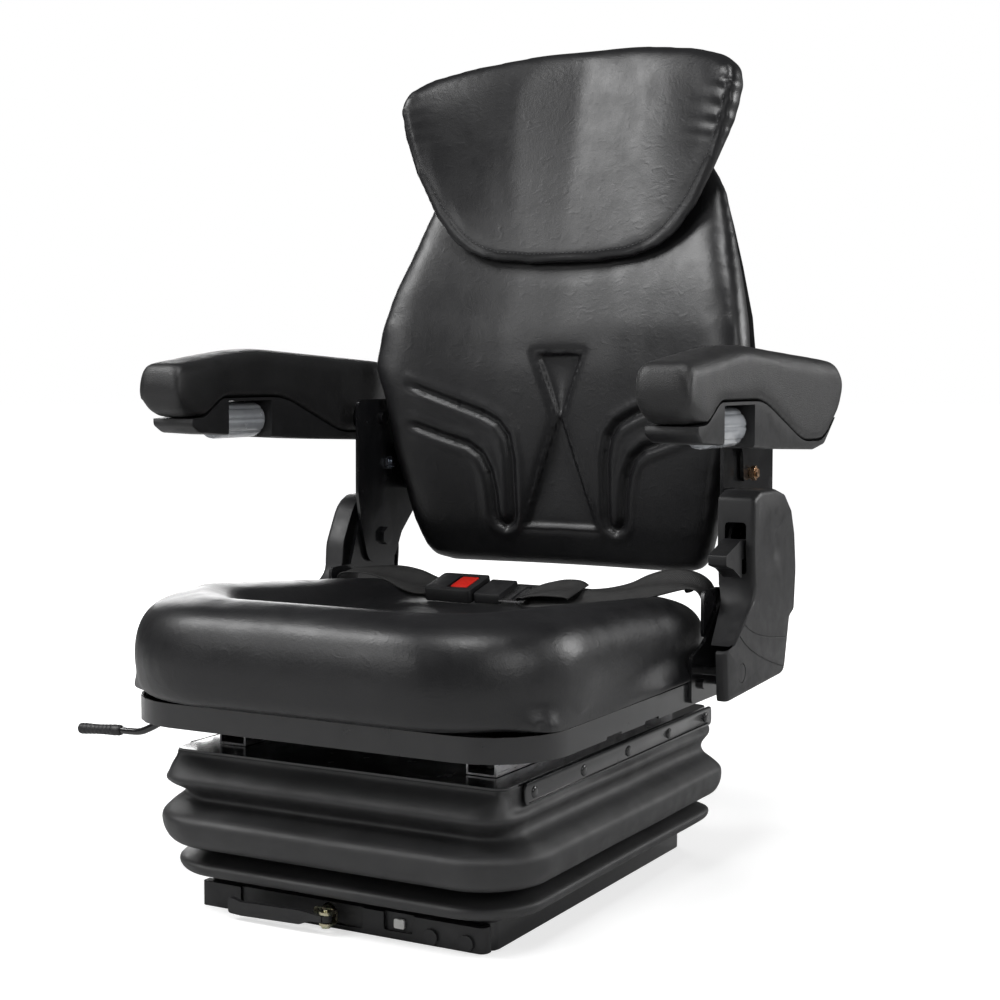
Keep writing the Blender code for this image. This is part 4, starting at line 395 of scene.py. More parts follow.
bmesh.ops.scale(bm, verts=bm.verts, vec=(lower_half, lower_reach, 1.0))
bmesh.ops.bevel(
    bm, geom=bm.verts[:], offset=fold_corner, offset_type="OFFSET", affect="VERTICES", segments=9, profile=0.5,
    material=-1,
)
straight = [edge for edge in bm.edges if edge.calc_length() > 0.1]
bmesh.ops.subdivide_edges(bm, edges=straight, cuts=17)
ring = bm.verts[:]
plan = [(vertex.co.x, vertex.co.y) for vertex in ring]
edges = bm.edges[:]
for row, (height, front_swell, side_swell, ease) in enumerate(fold_profile):
    if row:
        edges, ring = extruded_ring(bm, edges, ring)
    share = min(1.0, max(0.0, (height - taper_start) / taper_height))
    half = lower_half + (frame_half - lower_half) * share
    front = lower_reach + (collar_front - lower_reach) * share
    rear = lower_reach + (collar_rear - lower_reach) * share
    corner = sharp_corner + corner_easing * ease
    for vertex, (x, y) in zip(ring, plan):
        reach = front if y < 0 else rear
        stretched = Vector((x * half / lower_half, y * reach / lower_reach))
        straight_half, straight_reach = half - fold_corner, reach - fold_corner
        core = Vector(
            (
                max(-straight_half, min(straight_half, stretched.x)),
                max(-straight_reach, min(straight_reach, stretched.y)),
            )
        )
        away = stretched - core
        if away.length < 1e-6:
            continue
        away.normalize()
        tighter = fold_corner - corner
        snug = core + Vector((math.copysign(tighter, away.x), math.copysign(tighter, away.y)))
        if abs(away.x) < 0.02 or abs(away.y) < 0.02:
            base = stretched
        else:
            base = snug + away * corner
        facing = smooth_step(0.30, 0.90, abs(away.y))
        swell = side_swell + (front_swell - side_swell) * facing
        sway = noise.noise(Vector((x * 9, y * 9, height * 30))) * 0.0022 * min(1.0, swell / 0.01)
        out = away * (swell * (1.0 if y < 0 or abs(away.y) < 0.5 else rear_fullness) + sway)
        vertex.co = (base.x + out.x, base.y + out.y, height + sway * 0.35)
bellows = bmesh_piece("bellows_skin", bm, rubber, None, 80.0)
skin = bellows.modifiers.new("skin", "SOLIDIFY")
skin.thickness = skin_thickness
skin.offset = 1.0
soft = bellows.modifiers.new("soft", "SUBSURF")
soft.levels = 1
soft.render_levels = 1
baked(bellows)
bellows.data.shade_smooth()
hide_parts("bellows")
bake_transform(bellows)


# The trim strips: pressed steel on each side of the upper frame, over the bellows' collar, held by five flat-headed
# rivets. The ends are rounded and the lower edge has a narrow lip.
def add_bmesh(bm, other):
    """Puts the other bmesh into this one and frees it."""
    mesh = bpy.data.meshes.new("addition")
    other.to_mesh(mesh)
    other.free()
    bm.from_mesh(mesh)
    bpy.data.meshes.remove(mesh)
    return bm


def turned(profile, start, end, steps=32):
    """A bmesh turned about the line from start to end. The profile is (distance along, radius)."""
    start, end = Vector(start), Vector(end)
    bm = bmesh.new()
    points = [bm.verts.new((radius, 0.0, along)) for along, radius in profile]
    spine = [bm.edges.new(pair) for pair in zip(points, points[1:])]
    bmesh.ops.spin(
        bm, geom=points + spine, cent=(0, 0, 0), axis=(0, 0, 1), angle=2 * math.pi, steps=steps, use_merge=True
    )
    bmesh.ops.remove_doubles(bm, verts=bm.verts, dist=0.00001)
    bmesh.ops.recalc_face_normals(bm, faces=bm.faces)
    turn = Vector((0, 0, 1)).rotation_difference((end - start).normalized())
    bmesh.ops.transform(bm, matrix=Matrix.Translation(start) @ turn.to_matrix().to_4x4(), verts=bm.verts)
    return bm


strip_thickness, strip_corner, strip_edge = 0.0025, 0.006, 0.0009
lip_thickness, lip_height, lip_inset = 0.0034, 0.0022, 0.008
rivets, rivet_inset = 5, 0.018
rivet_profile = [(0.0019, 0.0), (0.0018, 0.0036), (0.0011, 0.0053), (0.0, 0.0060), (-0.001, 0.0060)]
for label, side in (("left", 1), ("right", -1)):
    low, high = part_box(f"trim_strip_{label}")
    inner = min(abs(low.x), abs(high.x))
    bm = bmesh.new()
    bmesh.ops.create_cube(bm, size=1.0)
    middle_y, middle_z = (low.y + high.y) / 2, (low.z + high.z) / 2
    bmesh.ops.scale(bm, verts=bm.verts, vec=(strip_thickness, high.y - low.y, high.z - low.z))
    bmesh.ops.translate(bm, verts=bm.verts, vec=(side * (inner + strip_thickness / 2), middle_y, middle_z))
    ends = [e for e in bm.edges if abs(e.verts[0].co.x - e.verts[1].co.x) > 0.001]
    bmesh.ops.bevel(bm, geom=ends, offset=strip_corner, affect="EDGES", segments=5, profile=0.5, material=-1)
    rims = [e for e in bm.edges if all(abs(v.co.x) > inner + 0.002 for v in e.verts)]
    bmesh.ops.bevel(bm, geom=rims, offset=strip_edge, affect="EDGES", segments=2, profile=0.5, material=-1)
    lip = bmesh.new()
    bmesh.ops.create_cube(lip, size=1.0)
    bmesh.ops.scale(lip, verts=lip.verts, vec=(lip_thickness, high.y - low.y - 2 * lip_inset, lip_height))
    bmesh.ops.translate(lip, verts=lip.verts, vec=(side * (inner + lip_thickness / 2), middle_y, low.z + lip_height))
    bmesh.ops.bevel(lip, geom=lip.edges[:], offset=0.0008, affect="EDGES", segments=2, profile=0.5, material=-1)
    add_bmesh(bm, lip)
    spacing = (high.y - low.y - 2 * rivet_inset) / (rivets - 1)
    for i in range(rivets):
        seat = Vector((side * (inner + 0.0024), low.y + rivet_inset + i * spacing, middle_z))
        add_bmesh(bm, turned(rivet_profile, seat, seat + Vector((side, 0, 0)), 20))
    strip = bmesh_piece(f"side_strip_{label}", bm, enamel, "upper", 40.0)
    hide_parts(f"trim_strip_{label}")


# The slide rails: the lower channels are bright rolled steel on the upper frame, and the runners under the seat pan
# are black. The sitter's right hand lifts a bent steel bar with a round grip to free them.
for label in ("left", "right"):
    dress(f"lower_rail_{label}", bright_steel, 0.0005)
    dress(f"upper_rail_{label}", enamel, 0.0005)


def tube_along(points, radius, sides=16, smooth=6):
    """A bmesh of a round bar through the points, with rounded bends and closed ends."""
    curve = bpy.data.curves.new("bar", "CURVE")
    curve.dimensions = "3D"
    line = curve.splines.new("BEZIER")
    line.bezier_points.add(len(points) - 1)
    for knot, point in zip(line.bezier_points, points):
        knot.co = point
        knot.handle_left_type = "AUTO"
        knot.handle_right_type = "AUTO"
    curve.resolution_u = smooth
    curve.bevel_depth = radius
    curve.bevel_resolution = sides // 4
    curve.use_fill_caps = True
    holder = bpy.data.objects.new("bar", curve)
    scene.collection.objects.link(holder)
    bpy.context.view_layer.update()
    mesh = bpy.data.meshes.new_from_object(holder.evaluated_get(bpy.context.evaluated_depsgraph_get()))
    bpy.data.objects.remove(holder)
    bpy.data.curves.remove(curve)
    bm = bmesh.new()
    bm.from_mesh(mesh)
    bpy.data.meshes.remove(mesh)
    bmesh.ops.remove_doubles(bm, verts=bm.verts, dist=0.00001)
    bmesh.ops.recalc_face_normals(bm, faces=bm.faces)
    return bm


lever_y = -0.175
bar = tube_along(
    [
        (-0.191, lever_y, 0.1800), (-0.215, lever_y, 0.1800), (-0.248, lever_y, 0.1792), (-0.270, lever_y, 0.1745),
        (-0.290, lever_y, 0.1648), (-0.304, lever_y, 0.1595), (-0.318, lever_y, 0.1582), (-0.331, lever_y, 0.1580),
    ],
    0.004,
)
hub_bore, hub_radius, hub_length = 0.0034, 0.0075, 0.020
hub_profile = [(0, hub_bore), (0, hub_radius), (hub_length, hub_radius), (hub_length, hub_bore), (0, hub_bore)]
hub_start = Vector((-0.205, lever_y - hub_length / 2, 0.18))
add_bmesh(bar, turned(hub_profile, hub_start, hub_start + Vector((0, hub_length, 0))))
slide_bar = bmesh_piece("slide_bar", bar, enamel, "slide_lever", 50.0)
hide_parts("slide_lever")
grip_profile = [(0.0, 0.0), (0.0, 0.0042), (0.0012, 0.0054), (0.004, 0.0062)]
ribs = 8
for rib in range(ribs):
    waist = 0.0060 - 0.0006 * math.sin(math.pi * rib / (ribs - 1))
    for shift, swell in ((0.0, 0.0), (0.0012, 0.0003), (0.0044, 0.0003), (0.0056, 0.0)):
        grip_profile.append((0.008 + 0.006 * rib + shift, waist + swell))
grip_profile += [(0.0575, 0.0064), (0.0602, 0.0058), (0.0617, 0.0044), (0.0617, 0.0)]
grip = turned(grip_profile, (-0.3304, lever_y, 0.1580), (-0.392, lever_y, 0.1545), 28)
slide_grip = bmesh_piece("slide_bar_grip", grip, moulding, "slide_lever", 50.0)
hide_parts("slide_grip")


# The seat pan: a pressed steel tray under gloss black enamel, with stepped notches in its side skirts, an opening in
# its floor and the lug that the slide bar turns on.
dress("seat_pan", enamel, 0.0009)


# The seat cushion: soft foam under one skin of black vinyl, tucked over the pan's rim. The front roll is high and
# full, the sides slope down to the rear, and the middle is a shallow well.
vinyl = Finish("black_vinyl", (0.0076, 0.0076, 0.0086), 0.38)
vinyl.tint(vinyl.noise(9.0, 4.0, 0.55), 0.45, 0.80, (0.0125, 0.0125, 0.0135))
vinyl.dull(vinyl.noise(30.0, 4.0, 0.6), 0.30, 0.72, 0.35, 0.45)
vinyl.relief(vinyl.noise(34.0, 4.0, 0.55, (3.0, 3.0, 0.9)), 0.0006, 0.20)
vinyl.relief(vinyl.creases(85.0, (1.0, 1.0, 1.5), 0.7), 0.00050, 0.38)
vinyl.relief(vinyl.cells(600.0), 0.00016, 0.35)
vinyl.relief(vinyl.noise(1500.0, 2.0), 0.00005, 0.35)


def softened(bm, rounds):
    """Evens the bmesh out, as foam would round its corners."""
    for _ in range(rounds):
        bmesh.ops.smooth_vert(bm, verts=bm.verts, factor=0.5, use_axis_x=True, use_axis_y=True, use_axis_z=True)


def foam_body(name, node, voxel, inset=0.0, rounds=6, shaped=None):
    """A copy of a packed soft solid with its doubles merged, remeshed into even quads and softened."""
    mesh = nodes[node].data.copy()
    mesh.name = name
    bm = bmesh.new()
    bm.from_mesh(mesh)
    bmesh.ops.remove_doubles(bm, verts=bm.verts, dist=0.00001)
    if shaped:
        for vertex in bm.verts:
            shaped(vertex)
    bm.to_mesh(mesh)
    bm.free()
    piece = bpy.data.objects.new(name, mesh)
    scene.collection.objects.link(piece)
    remesh = piece.modifiers.new("even", "REMESH")
    remesh.mode = "VOXEL"
    remesh.voxel_size = voxel
    baked(piece)
    bm = bmesh.new()
    bm.from_mesh(piece.data)
    softened(bm, rounds)
    if inset:
        bm.normal_update()
        for vertex in bm.verts:
            vertex.co -= vertex.normal * inset
    bm.to_mesh(piece.data)
    bm.free()
    return piece


def inflated(piece, pressure, cap, held):
    """Blows the skin up like foam under a tight cover. No point moves further than the cap, times held(point)."""
    rest = [vertex.co.copy() for vertex in piece.data.vertices]
    cloth = piece.modifiers.new("foam", "CLOTH")
    cloth.settings.use_pressure = True
    cloth.settings.uniform_pressure_force = pressure
    cloth.settings.effector_weights.gravity = 0.0
    cloth.settings.quality = 4
    cloth.settings.tension_stiffness = 25.0
    cloth.settings.bending_stiffness = 2.0
    cloth.collision_settings.use_collision = False
    cloth.point_cache.frame_start = 1
    cloth.point_cache.frame_end = 20
    for frame_number in range(1, 21):
        scene.frame_set(frame_number)
    baked(piece)
    scene.frame_set(1)
    for vertex, start in zip(piece.data.vertices, rest):
        move = vertex.co - start
        most = cap * held(start)
        if move.length > most:
            move = move * (most / move.length)
        vertex.co = start + move
    bm = bmesh.new()
    bm.from_mesh(piece.data)
    softened(bm, 3)
    bm.to_mesh(piece.data)
    bm.free()
    return piece


def finished_skin(piece, finish, body, levels=1):
    """Subdivides the skin, and gives it its material and the body that it moves with."""
    if levels:
        finer = piece.modifiers.new("finer", "SUBSURF")
        finer.levels = levels
        finer.render_levels = levels
        baked(piece)
    piece.data.materials.clear()
    piece.data.materials.append(finish.material)
    piece.data.shade_smooth()
    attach(piece, body)
    return piece


pan_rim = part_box("seat_cushion")[0].z
rim_spread = ((0.0, 0.092), (0.0044, 0.030), (0.0220, 0.0))  # height over the rim, and the share added there
rear_spread = 0.6


def over_the_rim(vertex):
    """The cover comes straight down over the pan's rim."""
    height = vertex.co.z - pan_rim
    spread = 0.0
    for (start, wide), (end, narrow) in zip(rim_spread, rim_spread[1:]):
        if start <= height <= end:
            spread = wide + (narrow - wide) * (height - start) / (end - start)
    vertex.co.x *= 1 + spread
    if vertex.co.y > 0:
        vertex.co.y *= 1 + spread * rear_spread


cushion = foam_body("seat_cushion_skin", "seat_cushion", 0.0060, 0.0010, 8, over_the_rim)
inflated(cushion, 4.0, 0.0018, lambda point: smooth_step(pan_rim + 0.004, pan_rim + 0.040, point.z))
finished_skin(cushion, vinyl, "seat")
# the sides come down tight onto the pan's rim, and the front edge sits over it
pan_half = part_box("seat_pan")[1].x + 0.0028
side_start = 0.200
for vertex in cushion.data.vertices:
    x, y, z = vertex.co
    along_side = smooth_step(-0.286, -0.236, y) * smooth_step(0.232, 0.200, y)
    share = smooth_step(pan_rim + 0.034, pan_rim + 0.004, z) * along_side
    if side_start < abs(x) < pan_half:
        vertex.co.x += (math.copysign(pan_half, x) - x) * share * smooth_step(side_start, 0.226, abs(x))
# short gathers where the cover is pulled under at the front corners, and a slightly wavy lower edge
gathers = ((0.222, -0.290, 0.024), (0.232, -0.276, 0.030), (0.241, -0.255, 0.018), (0.205, -0.303, 0.016))
gather_depth, gather_width, gather_lean, waviness = 0.0034, 0.0042, 0.25, 0.0011
cushion_lies = [vertex.normal.copy() for vertex in cushion.data.vertices]
for vertex, lie in zip(cushion.data.vertices, cushion_lies):
    x, y, z = vertex.co
    if z > pan_rim + 0.040:
        continue
    outward = Vector((lie.x, lie.y, 0.0))
    for gather_x, gather_y, rise in gathers:
        lean = (z - pan_rim) * gather_lean
        reach = math.hypot(abs(x) - gather_x - lean, y - gather_y + lean)
        fade = smooth_step(pan_rim + rise, pan_rim + rise * 0.3, z)
        vertex.co -= outward * gather_depth * math.exp(-((reach / gather_width) ** 2)) * fade
        vertex.co += outward * 0.0010 * math.exp(-(((reach - 0.008) / 0.004) ** 2)) * fade
    low_edge = smooth_step(pan_rim + 0.014, pan_rim, z)
    vertex.co += outward * waviness * low_edge * noise.noise(Vector((x * 22, y * 22, 3.1)))
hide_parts("seat_cushion")


# The backrest: moulded foam under the same vinyl, pressed with an hourglass panel in the middle and a bent rib on
# each side of it. A thin plastic shell closes its back, and its edge shows round the cushion.
def distance_to_path(x, z, path):
    """How far the point is from the nearest stretch of the path."""
    best = 1.0
    for (ax, az), (bx, bz) in zip(path, path[1:]):
        dx, dz = bx - ax, bz - az
        share = ((x - ax) * dx + (z - az) * dz) / (dx * dx + dz * dz)
        share = min(1.0, max(0.0, share))
        best = min(best, math.hypot(x - ax - dx * share, z - az - dz * share))
    return best


def inside(x, z, outline):
    """Whether the point is inside the closed outline."""
    crossings = False
    for (ax, az), (bx, bz) in zip(outline, outline[1:] + outline[:1]):
        if (az > z) != (bz > z) and x < ax + (bx - ax) * (z - az) / (bz - az):
            crossings = not crossings
    return crossings


back = foam_body("back_cushion_skin", "back_cushion", 0.0060, 0.0, 5)
inflated(back, 3.0, 0.0010, lambda point: 1.0 if point.y < 0.26 else 0.3)
finer = back.modifiers.new("finer", "SUBSURF")
finer.levels = 1
finer.render_levels = 1
baked(back)
hourglass = [(-0.033, 0.580), (0.033, 0.580), (0.004, 0.503), (0.052, 0.366), (-0.052, 0.366), (-0.004, 0.503)]
rib_groove = [
    (0.196, 0.541), (0.150, 0.523), (0.100, 0.504), (0.082, 0.494), (0.070, 0.478), (0.065, 0.450), (0.064, 0.380),
    (0.067, 0.371), (0.0755, 0.366), (0.084, 0.371), (0.088, 0.380), (0.090, 0.410), (0.0945, 0.434), (0.104, 0.454),
    (0.120, 0.466), (0.150, 0.476), (0.200, 0.494),
]
face_rear, pressed_low, pressed_high = 0.262, 0.345, 0.600
panel_depth, panel_wall, panel_rim = 0.0056, 0.0046, 0.0014
groove_depth, groove_width = 0.0058, 0.0042
bead_height, bead_offset, bead_width = 0.0018, 0.0105, 0.0055
for vertex in back.data.vertices:
    x, y, z = vertex.co
    if y > face_rear or not pressed_low < z < pressed_high:
        continue
    edge = distance_to_path(x, z, hourglass + hourglass[:1])
    if inside(x, z, hourglass):
        vertex.co.y += panel_depth * smooth_step(0.0, panel_wall, edge)
    else:
        vertex.co.y += panel_rim * smooth_step(0.010, 0.0, edge)
    groove = distance_to_path(abs(x), z, rib_groove)
    fade = smooth_step(0.205, 0.180, abs(x))
    vertex.co.y += groove_depth * math.exp(-((groove / groove_width) ** 2)) * fade
    vertex.co.y -= bead_height * math.exp(-(((groove - bead_offset) / bead_width) ** 2)) * fade
finished_skin(back, vinyl, "back", levels=0)
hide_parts("back_cushion")
dress("back_shell", moulding, 0.0008)
dress("headrest_carrier", enamel, 0.0006)


# The headrest: foam wings under vinyl, sewn from a front panel and a gusset, so a stitched seam follows the panel's
# edge and puckers the skin beside it. It slides up and down on a steel tongue.
head = foam_body("headrest_skin", "headrest_pad", 0.0052, 0.0, 6)
inflated(head, 3.0, 0.0010, lambda point: 1.0)
finished_skin(head, vinyl, "headrest")


def surface_of(piece):
    """The piece's surface as a tree for rays and nearest points."""
    points = [vertex.co.copy() for vertex in piece.data.vertices]
    return BVHTree.FromPolygons(points, [polygon.vertices[:] for polygon in piece.data.polygons])


# the seam keeps its distance from the outline, which rays from outside find, and goes round all but the top
head_surface = surface_of(head)
seam_z, seam_inset, seam_end, seam_steps, outside = 0.820, 0.0085, math.radians(106), 70, 0.5
seam = []
for step in range(-seam_steps, seam_steps + 1):
    angle = -math.pi / 2 + seam_end * step / seam_steps
    spoke = Vector((math.cos(angle), 0.0, math.sin(angle)))
    furthest = 0.0
    for depth in range(10):
        start = Vector((0.0, 0.245 + depth * 0.010, seam_z)) + spoke * outside
        hit = head_surface.ray_cast(start, -spoke)[0]
        if hit:
            furthest = max(furthest, abs((hit - start).length - outside))
    plan = Vector((0.0, 0.0, seam_z)) + spoke * (furthest - seam_inset)
    hit, lie, _, _ = head_surface.ray_cast(plan, Vector((0, 1, 0)))
    if hit:
        seam.append((hit, lie))
seam_tree = KDTree(len(seam))
for index, (point, lie) in enumerate(seam):
    seam_tree.insert(point, index)
seam_tree.balance()
seam_depth, seam_width, pucker_spacing, pucker_length, pucker_slope = 0.0010, 0.0030, 0.0185, 0.016, 0.25
left_pucker, right_pucker = 0.0017, 0.0004
head_lies = [vertex.normal.copy() for vertex in head.data.vertices]
for vertex, lie in zip(head.data.vertices, head_lies):
    _, _, reach = seam_tree.find(vertex.co)
    if reach > 0.060:
        continue
    x, y, z = vertex.co
    vertex.co -= lie * seam_depth * math.exp(-((reach / seam_width) ** 2))
    tension = left_pucker if x > 0 else right_pucker
    band = smooth_step(0.815, 0.845, z) * smooth_step(0.925, 0.900, z)
    turns = (z + pucker_slope * (abs(x) - 0.20)) / pucker_spacing
    fold = math.cos(2 * math.pi * turns + 2.0 * noise.noise(Vector((x * 20, 0, z * 14))))
    vertex.co += lie * tension * fold * band * smooth_step(0.002, 0.008, reach) * math.exp(-reach / pucker_length)
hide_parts("headrest_pad")

thread = Finish("grey_thread", (0.045, 0.045, 0.048), 0.55)
thread.tint(thread.noise(700.0, 2.0), 0.4, 0.7, (0.075, 0.075, 0.080))
thread.relief(thread.noise(1800.0, 2.0), 0.00008, 0.6)
stitch_spacing, stitch_inset, stitch_radius, stitch_proud = 0.0056, 0.0030, 0.00052, 0.00015
stitch_form = Matrix.Diagonal((3.4, 0.9, 0.7, 1.0))
head_middle = Vector((0.0, 0.3, seam_z))
head_surface = surface_of(head)
bm = bmesh.new()
spare = 0.0
for (start, start_lie), (end, _) in zip(seam, seam[1:]):
    run = (end - start).length
    along = (end - start) / run
    inward = start_lie.cross(along).normalized()
    if inward.dot(head_middle - start) < 0:
        inward.negate()
    while spare < run:
        place, lie, _, _ = head_surface.find_nearest(start + along * spare + inward * stitch_inset)
        turn = Matrix((along, lie.cross(along).normalized(), lie)).transposed().to_4x4()
        spot = Matrix.Translation(place + lie * stitch_proud) @ turn @ stitch_form
        bmesh.ops.create_uvsphere(bm, u_segments=6, v_segments=4, radius=stitch_radius, matrix=spot)
        spare += stitch_spacing
    spare -= run
stitches = bmesh_piece("headrest_stitches", bm, thread, "headrest", 60.0)


# The hinge cheeks: steel plates bolted to the pan's sides, with the backrest's side plates turning on the recliner
# bolts inside them. A moulded plastic cover hides each cheek, and the sitter's left one lets the recline lever out.
# The stop bolts are zinc plated, blue on the sitter's right and yellow on the left.
def plated(name, colour, patch, patch_scale):
    """Bright zinc plate, a little uneven in tone and gloss."""
    made = Finish(name, colour, 0.24, 1.0)
    made.tint(made.noise(patch_scale, 3.0), 0.42, 0.66, patch)
    made.dull(made.noise(260.0, 3.0), 0.3, 0.7, 0.18, 0.34)
    made.relief(made.noise(800.0, 2.0), 0.00003, 0.5)
    return made


for label in ("left", "right"):
    dress(f"hinge_bracket_{label}", enamel, 0.0005)
    dress(f"hinge_cover_{label}", moulding, 0.0016)
    dress(f"back_plate_{label}", enamel, 0.0005)
    dress(f"recliner_bolt_{label}", enamel, 0.0004)
    dress(f"armrest_bolt_{label}", enamel, 0.0004)
    dress(f"armrest_bracket_{label}", enamel, 0.0005)
    dress(f"armrest_cover_{label}", moulding, 0.0012)
dress("stop_bolt_right", plated("blue_zinc", (0.52, 0.56, 0.62), (0.40, 0.45, 0.52), 180.0), 0.0004)
dress("stop_bolt_left", plated("yellow_zinc", (0.72, 0.44, 0.26), (0.78, 0.56, 0.36), 150.0), 0.0004)
dress("recline_lever", moulding, 0.0010)


# The armrests: skinned foam on a steel bar, with a grained plastic shell below and a clear grey wheel round the bar
# that sets the angle.
foam_skin = Finish("armrest_skin", (0.0120, 0.0120, 0.0126), 0.46)
foam_skin.tint(foam_skin.noise(16.0, 4.0), 0.45, 0.8, (0.019, 0.019, 0.0195))
foam_skin.dull(foam_skin.noise(40.0, 4.0), 0.3, 0.7, 0.40, 0.54)
foam_skin.relief(foam_skin.cells(820.0), 0.00030, 0.75)
foam_skin.relief(foam_skin.noise(2200.0, 2.0), 0.00006, 0.6)
for label in ("left", "right"):
    pad = foam_body(f"armrest_foam_{label}", f"armrest_pad_{label}", 0.0036, 0.0, 5)
    inflated(pad, 2.0, 0.0006, lambda point: 1.0)
    finished_skin(pad, foam_skin, f"armrest_{label}")
    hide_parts(f"armrest_pad_{label}")

wheel_grey = Finish("clear_grey_wheel", (0.46, 0.48, 0.51), 0.20)
wheel_grey.tint(wheel_grey.noise(22.0, 3.0), 0.4, 0.7, (0.62, 0.64, 0.67))
wheel_grey.dull(wheel_grey.noise(80.0, 3.0), 0.3, 0.7, 0.14, 0.28)
wheel_grey.relief(wheel_grey.noise(300.0, 2.0), 0.00005, 0.5)
wheel_grey.shader.inputs["Coat Weight"].default_value = 0.6
wheel_grey.shader.inputs["Transmission Weight"].default_value = 0.25
wheel_bore, flutes, flute_depth = 0.0115, 9, 0.0016
for label in ("left", "right"):
    low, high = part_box(f"armrest_wheel_{label}")
    middle = (low + high) / 2
    radius = (high.x - low.x) / 2
    bm = bmesh.new()
    bmesh.ops.create_circle(bm, segments=90, radius=1.0)
    bmesh.ops.rotate(bm, verts=bm.verts, cent=(0, 0, 0), matrix=Matrix.Rotation(math.pi / 2, 3, "X"))
    ring = bm.verts[:]
    plan = [vertex.co.copy() for vertex in ring]
    edges = bm.edges[:]
    first = edges
    length = high.y - low.y
    # distance along the wheel, share of its radius and share of the flutes' depth
    walls = [(0.0, 0.84, 0.0), (0.0010, 0.92, 0.2), (0.0032, 0.98, 0.7), (0.0070, 1.0, 1.0), (0.0130, 1.0, 1.0)]
    walls += [(length - along, share, flute) for along, share, flute in reversed(walls)]
    walls += [(length, 0.76, 0.0), (length, wheel_bore / radius, 0.0), (0.0, wheel_bore / radius, 0.0)]
    for row, (along, share, flute) in enumerate(walls):
        if row:
            edges, ring = extruded_ring(bm, edges, ring)
        for vertex, spoke in zip(ring, plan):
            turn = math.atan2(spoke.z, spoke.x)
            dip = flute_depth * flute * max(0.0, math.cos(flutes * turn)) ** 5
            reach = radius * share - dip
            vertex.co = Vector((middle.x + spoke.x * reach, low.y + along, middle.z + spoke.z * reach))
    bmesh.ops.bridge_loops(bm, edges=first + edges)
    bmesh.ops.recalc_face_normals(bm, faces=bm.faces)
    wheel = bmesh_piece(f"angle_wheel_{label}", bm, wheel_grey, f"wheel_{label}", 50.0)
    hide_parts(f"armrest_wheel_{label}")


# The lap belt: woven polyester webbing, anchored to each hinge cheek. The buckle hangs on the sitter's right-hand
# strap, and the other strap goes round the tongue's bar and back. Buckle and tongue lie locked in the cushion's well.
webbing = Finish("woven_webbing", (0.0115, 0.0113, 0.0112), 0.60)
webbing.place = webbing.node("ShaderNodeUVMap", uv_map="strap").outputs["UV"]
webbing.tint(webbing.noise(90.0, 4.0), 0.40, 0.80, (0.021, 0.0205, 0.020))
for direction, scale, depth in (("Y", 175.0, 0.00035), ("DIAGONAL", 240.0, 0.00025)):
    rows = webbing.node("ShaderNodeTexWave", wave_type="BANDS", bands_direction=direction)
    rows.inputs["Scale"].default_value = scale
    rows.inputs["Distortion"].default_value = 0.4
    webbing.link(webbing.place, rows.inputs["Vector"])
    webbing.relief(rows.outputs["Fac"], depth, 0.8)
webbing.relief(webbing.noise(1800.0, 2.0), 0.00008, 0.5)
strap_width, strap_thickness, strap_steps = 0.046, 0.0013, 6


def strap(name, stations, body, ripple):
    """Webbing along a smooth line through stations of (x, y, z, tilt in degrees), the rear edge raised by the tilt.

    Returns the piece and its flat length.
    """
    runs = []
    for index in range(len(stations) - 1):
        a = Vector(stations[max(0, index - 1)])
        b = Vector(stations[index])
        c = Vector(stations[index + 1])
        d = Vector(stations[min(len(stations) - 1, index + 2)])
        for step in range(strap_steps):
            t = step / strap_steps
            bend, twist = 2 * a - 5 * b + 4 * c - d, 3 * b - a - 3 * c + d
            runs.append(0.5 * (2 * b + (c - a) * t + bend * t * t + twist * t ** 3))
    runs.append(Vector(stations[-1]))
    travelled = [0.0]
    for start, end in zip(runs, runs[1:]):
        travelled.append(travelled[-1] + (end.xyz - start.xyz).length)
    count, across = len(runs) - 1, 10
    bm = bmesh.new()
    bmesh.ops.create_grid(bm, x_segments=count, y_segments=across, size=1.0)
    layout = bm.loops.layers.uv.new("strap")
    for vertex in bm.verts:
        vertex.index = round((vertex.co.x + 1) / 2 * count) * (across + 1) + round((vertex.co.y + 1) / 2 * across)
    for face in bm.faces:
        for corner in face.loops:
            row, column = divmod(corner.vert.index, across + 1)
            corner[layout].uv = (travelled[row], column / across * strap_width)
    for vertex in bm.verts:
        row, column = divmod(vertex.index, across + 1)
        place = runs[row].xyz
        ahead = (runs[min(count, row + 1)].xyz - runs[max(0, row - 1)].xyz).normalized()
        tilt = math.radians(runs[row].w)
        side = Vector((0.0, math.cos(tilt), math.sin(tilt)))
        side = (side - ahead * side.dot(ahead)).normalized()
        lie = ahead.cross(side).normalized()
        share = column / across - 0.5
        calm = min(1.0, travelled[row] / 0.03, (travelled[-1] - travelled[row]) / 0.05)
        wave = math.sin(share * 9.0 + travelled[row] * 40.0) * ripple * max(0.0, calm)
        vertex.co = place + side * (share * strap_width) + lie * wave
    bmesh.ops.recalc_face_normals(bm, faces=bm.faces)
    piece = bmesh_piece(name, bm, webbing, body, 80.0)
    body_of_webbing = piece.modifiers.new("thickness", "SOLIDIFY")
    body_of_webbing.thickness = strap_thickness
    body_of_webbing.offset = 0.0
    baked(piece)
    piece.data.shade_smooth()
    return piece, travelled[-1]


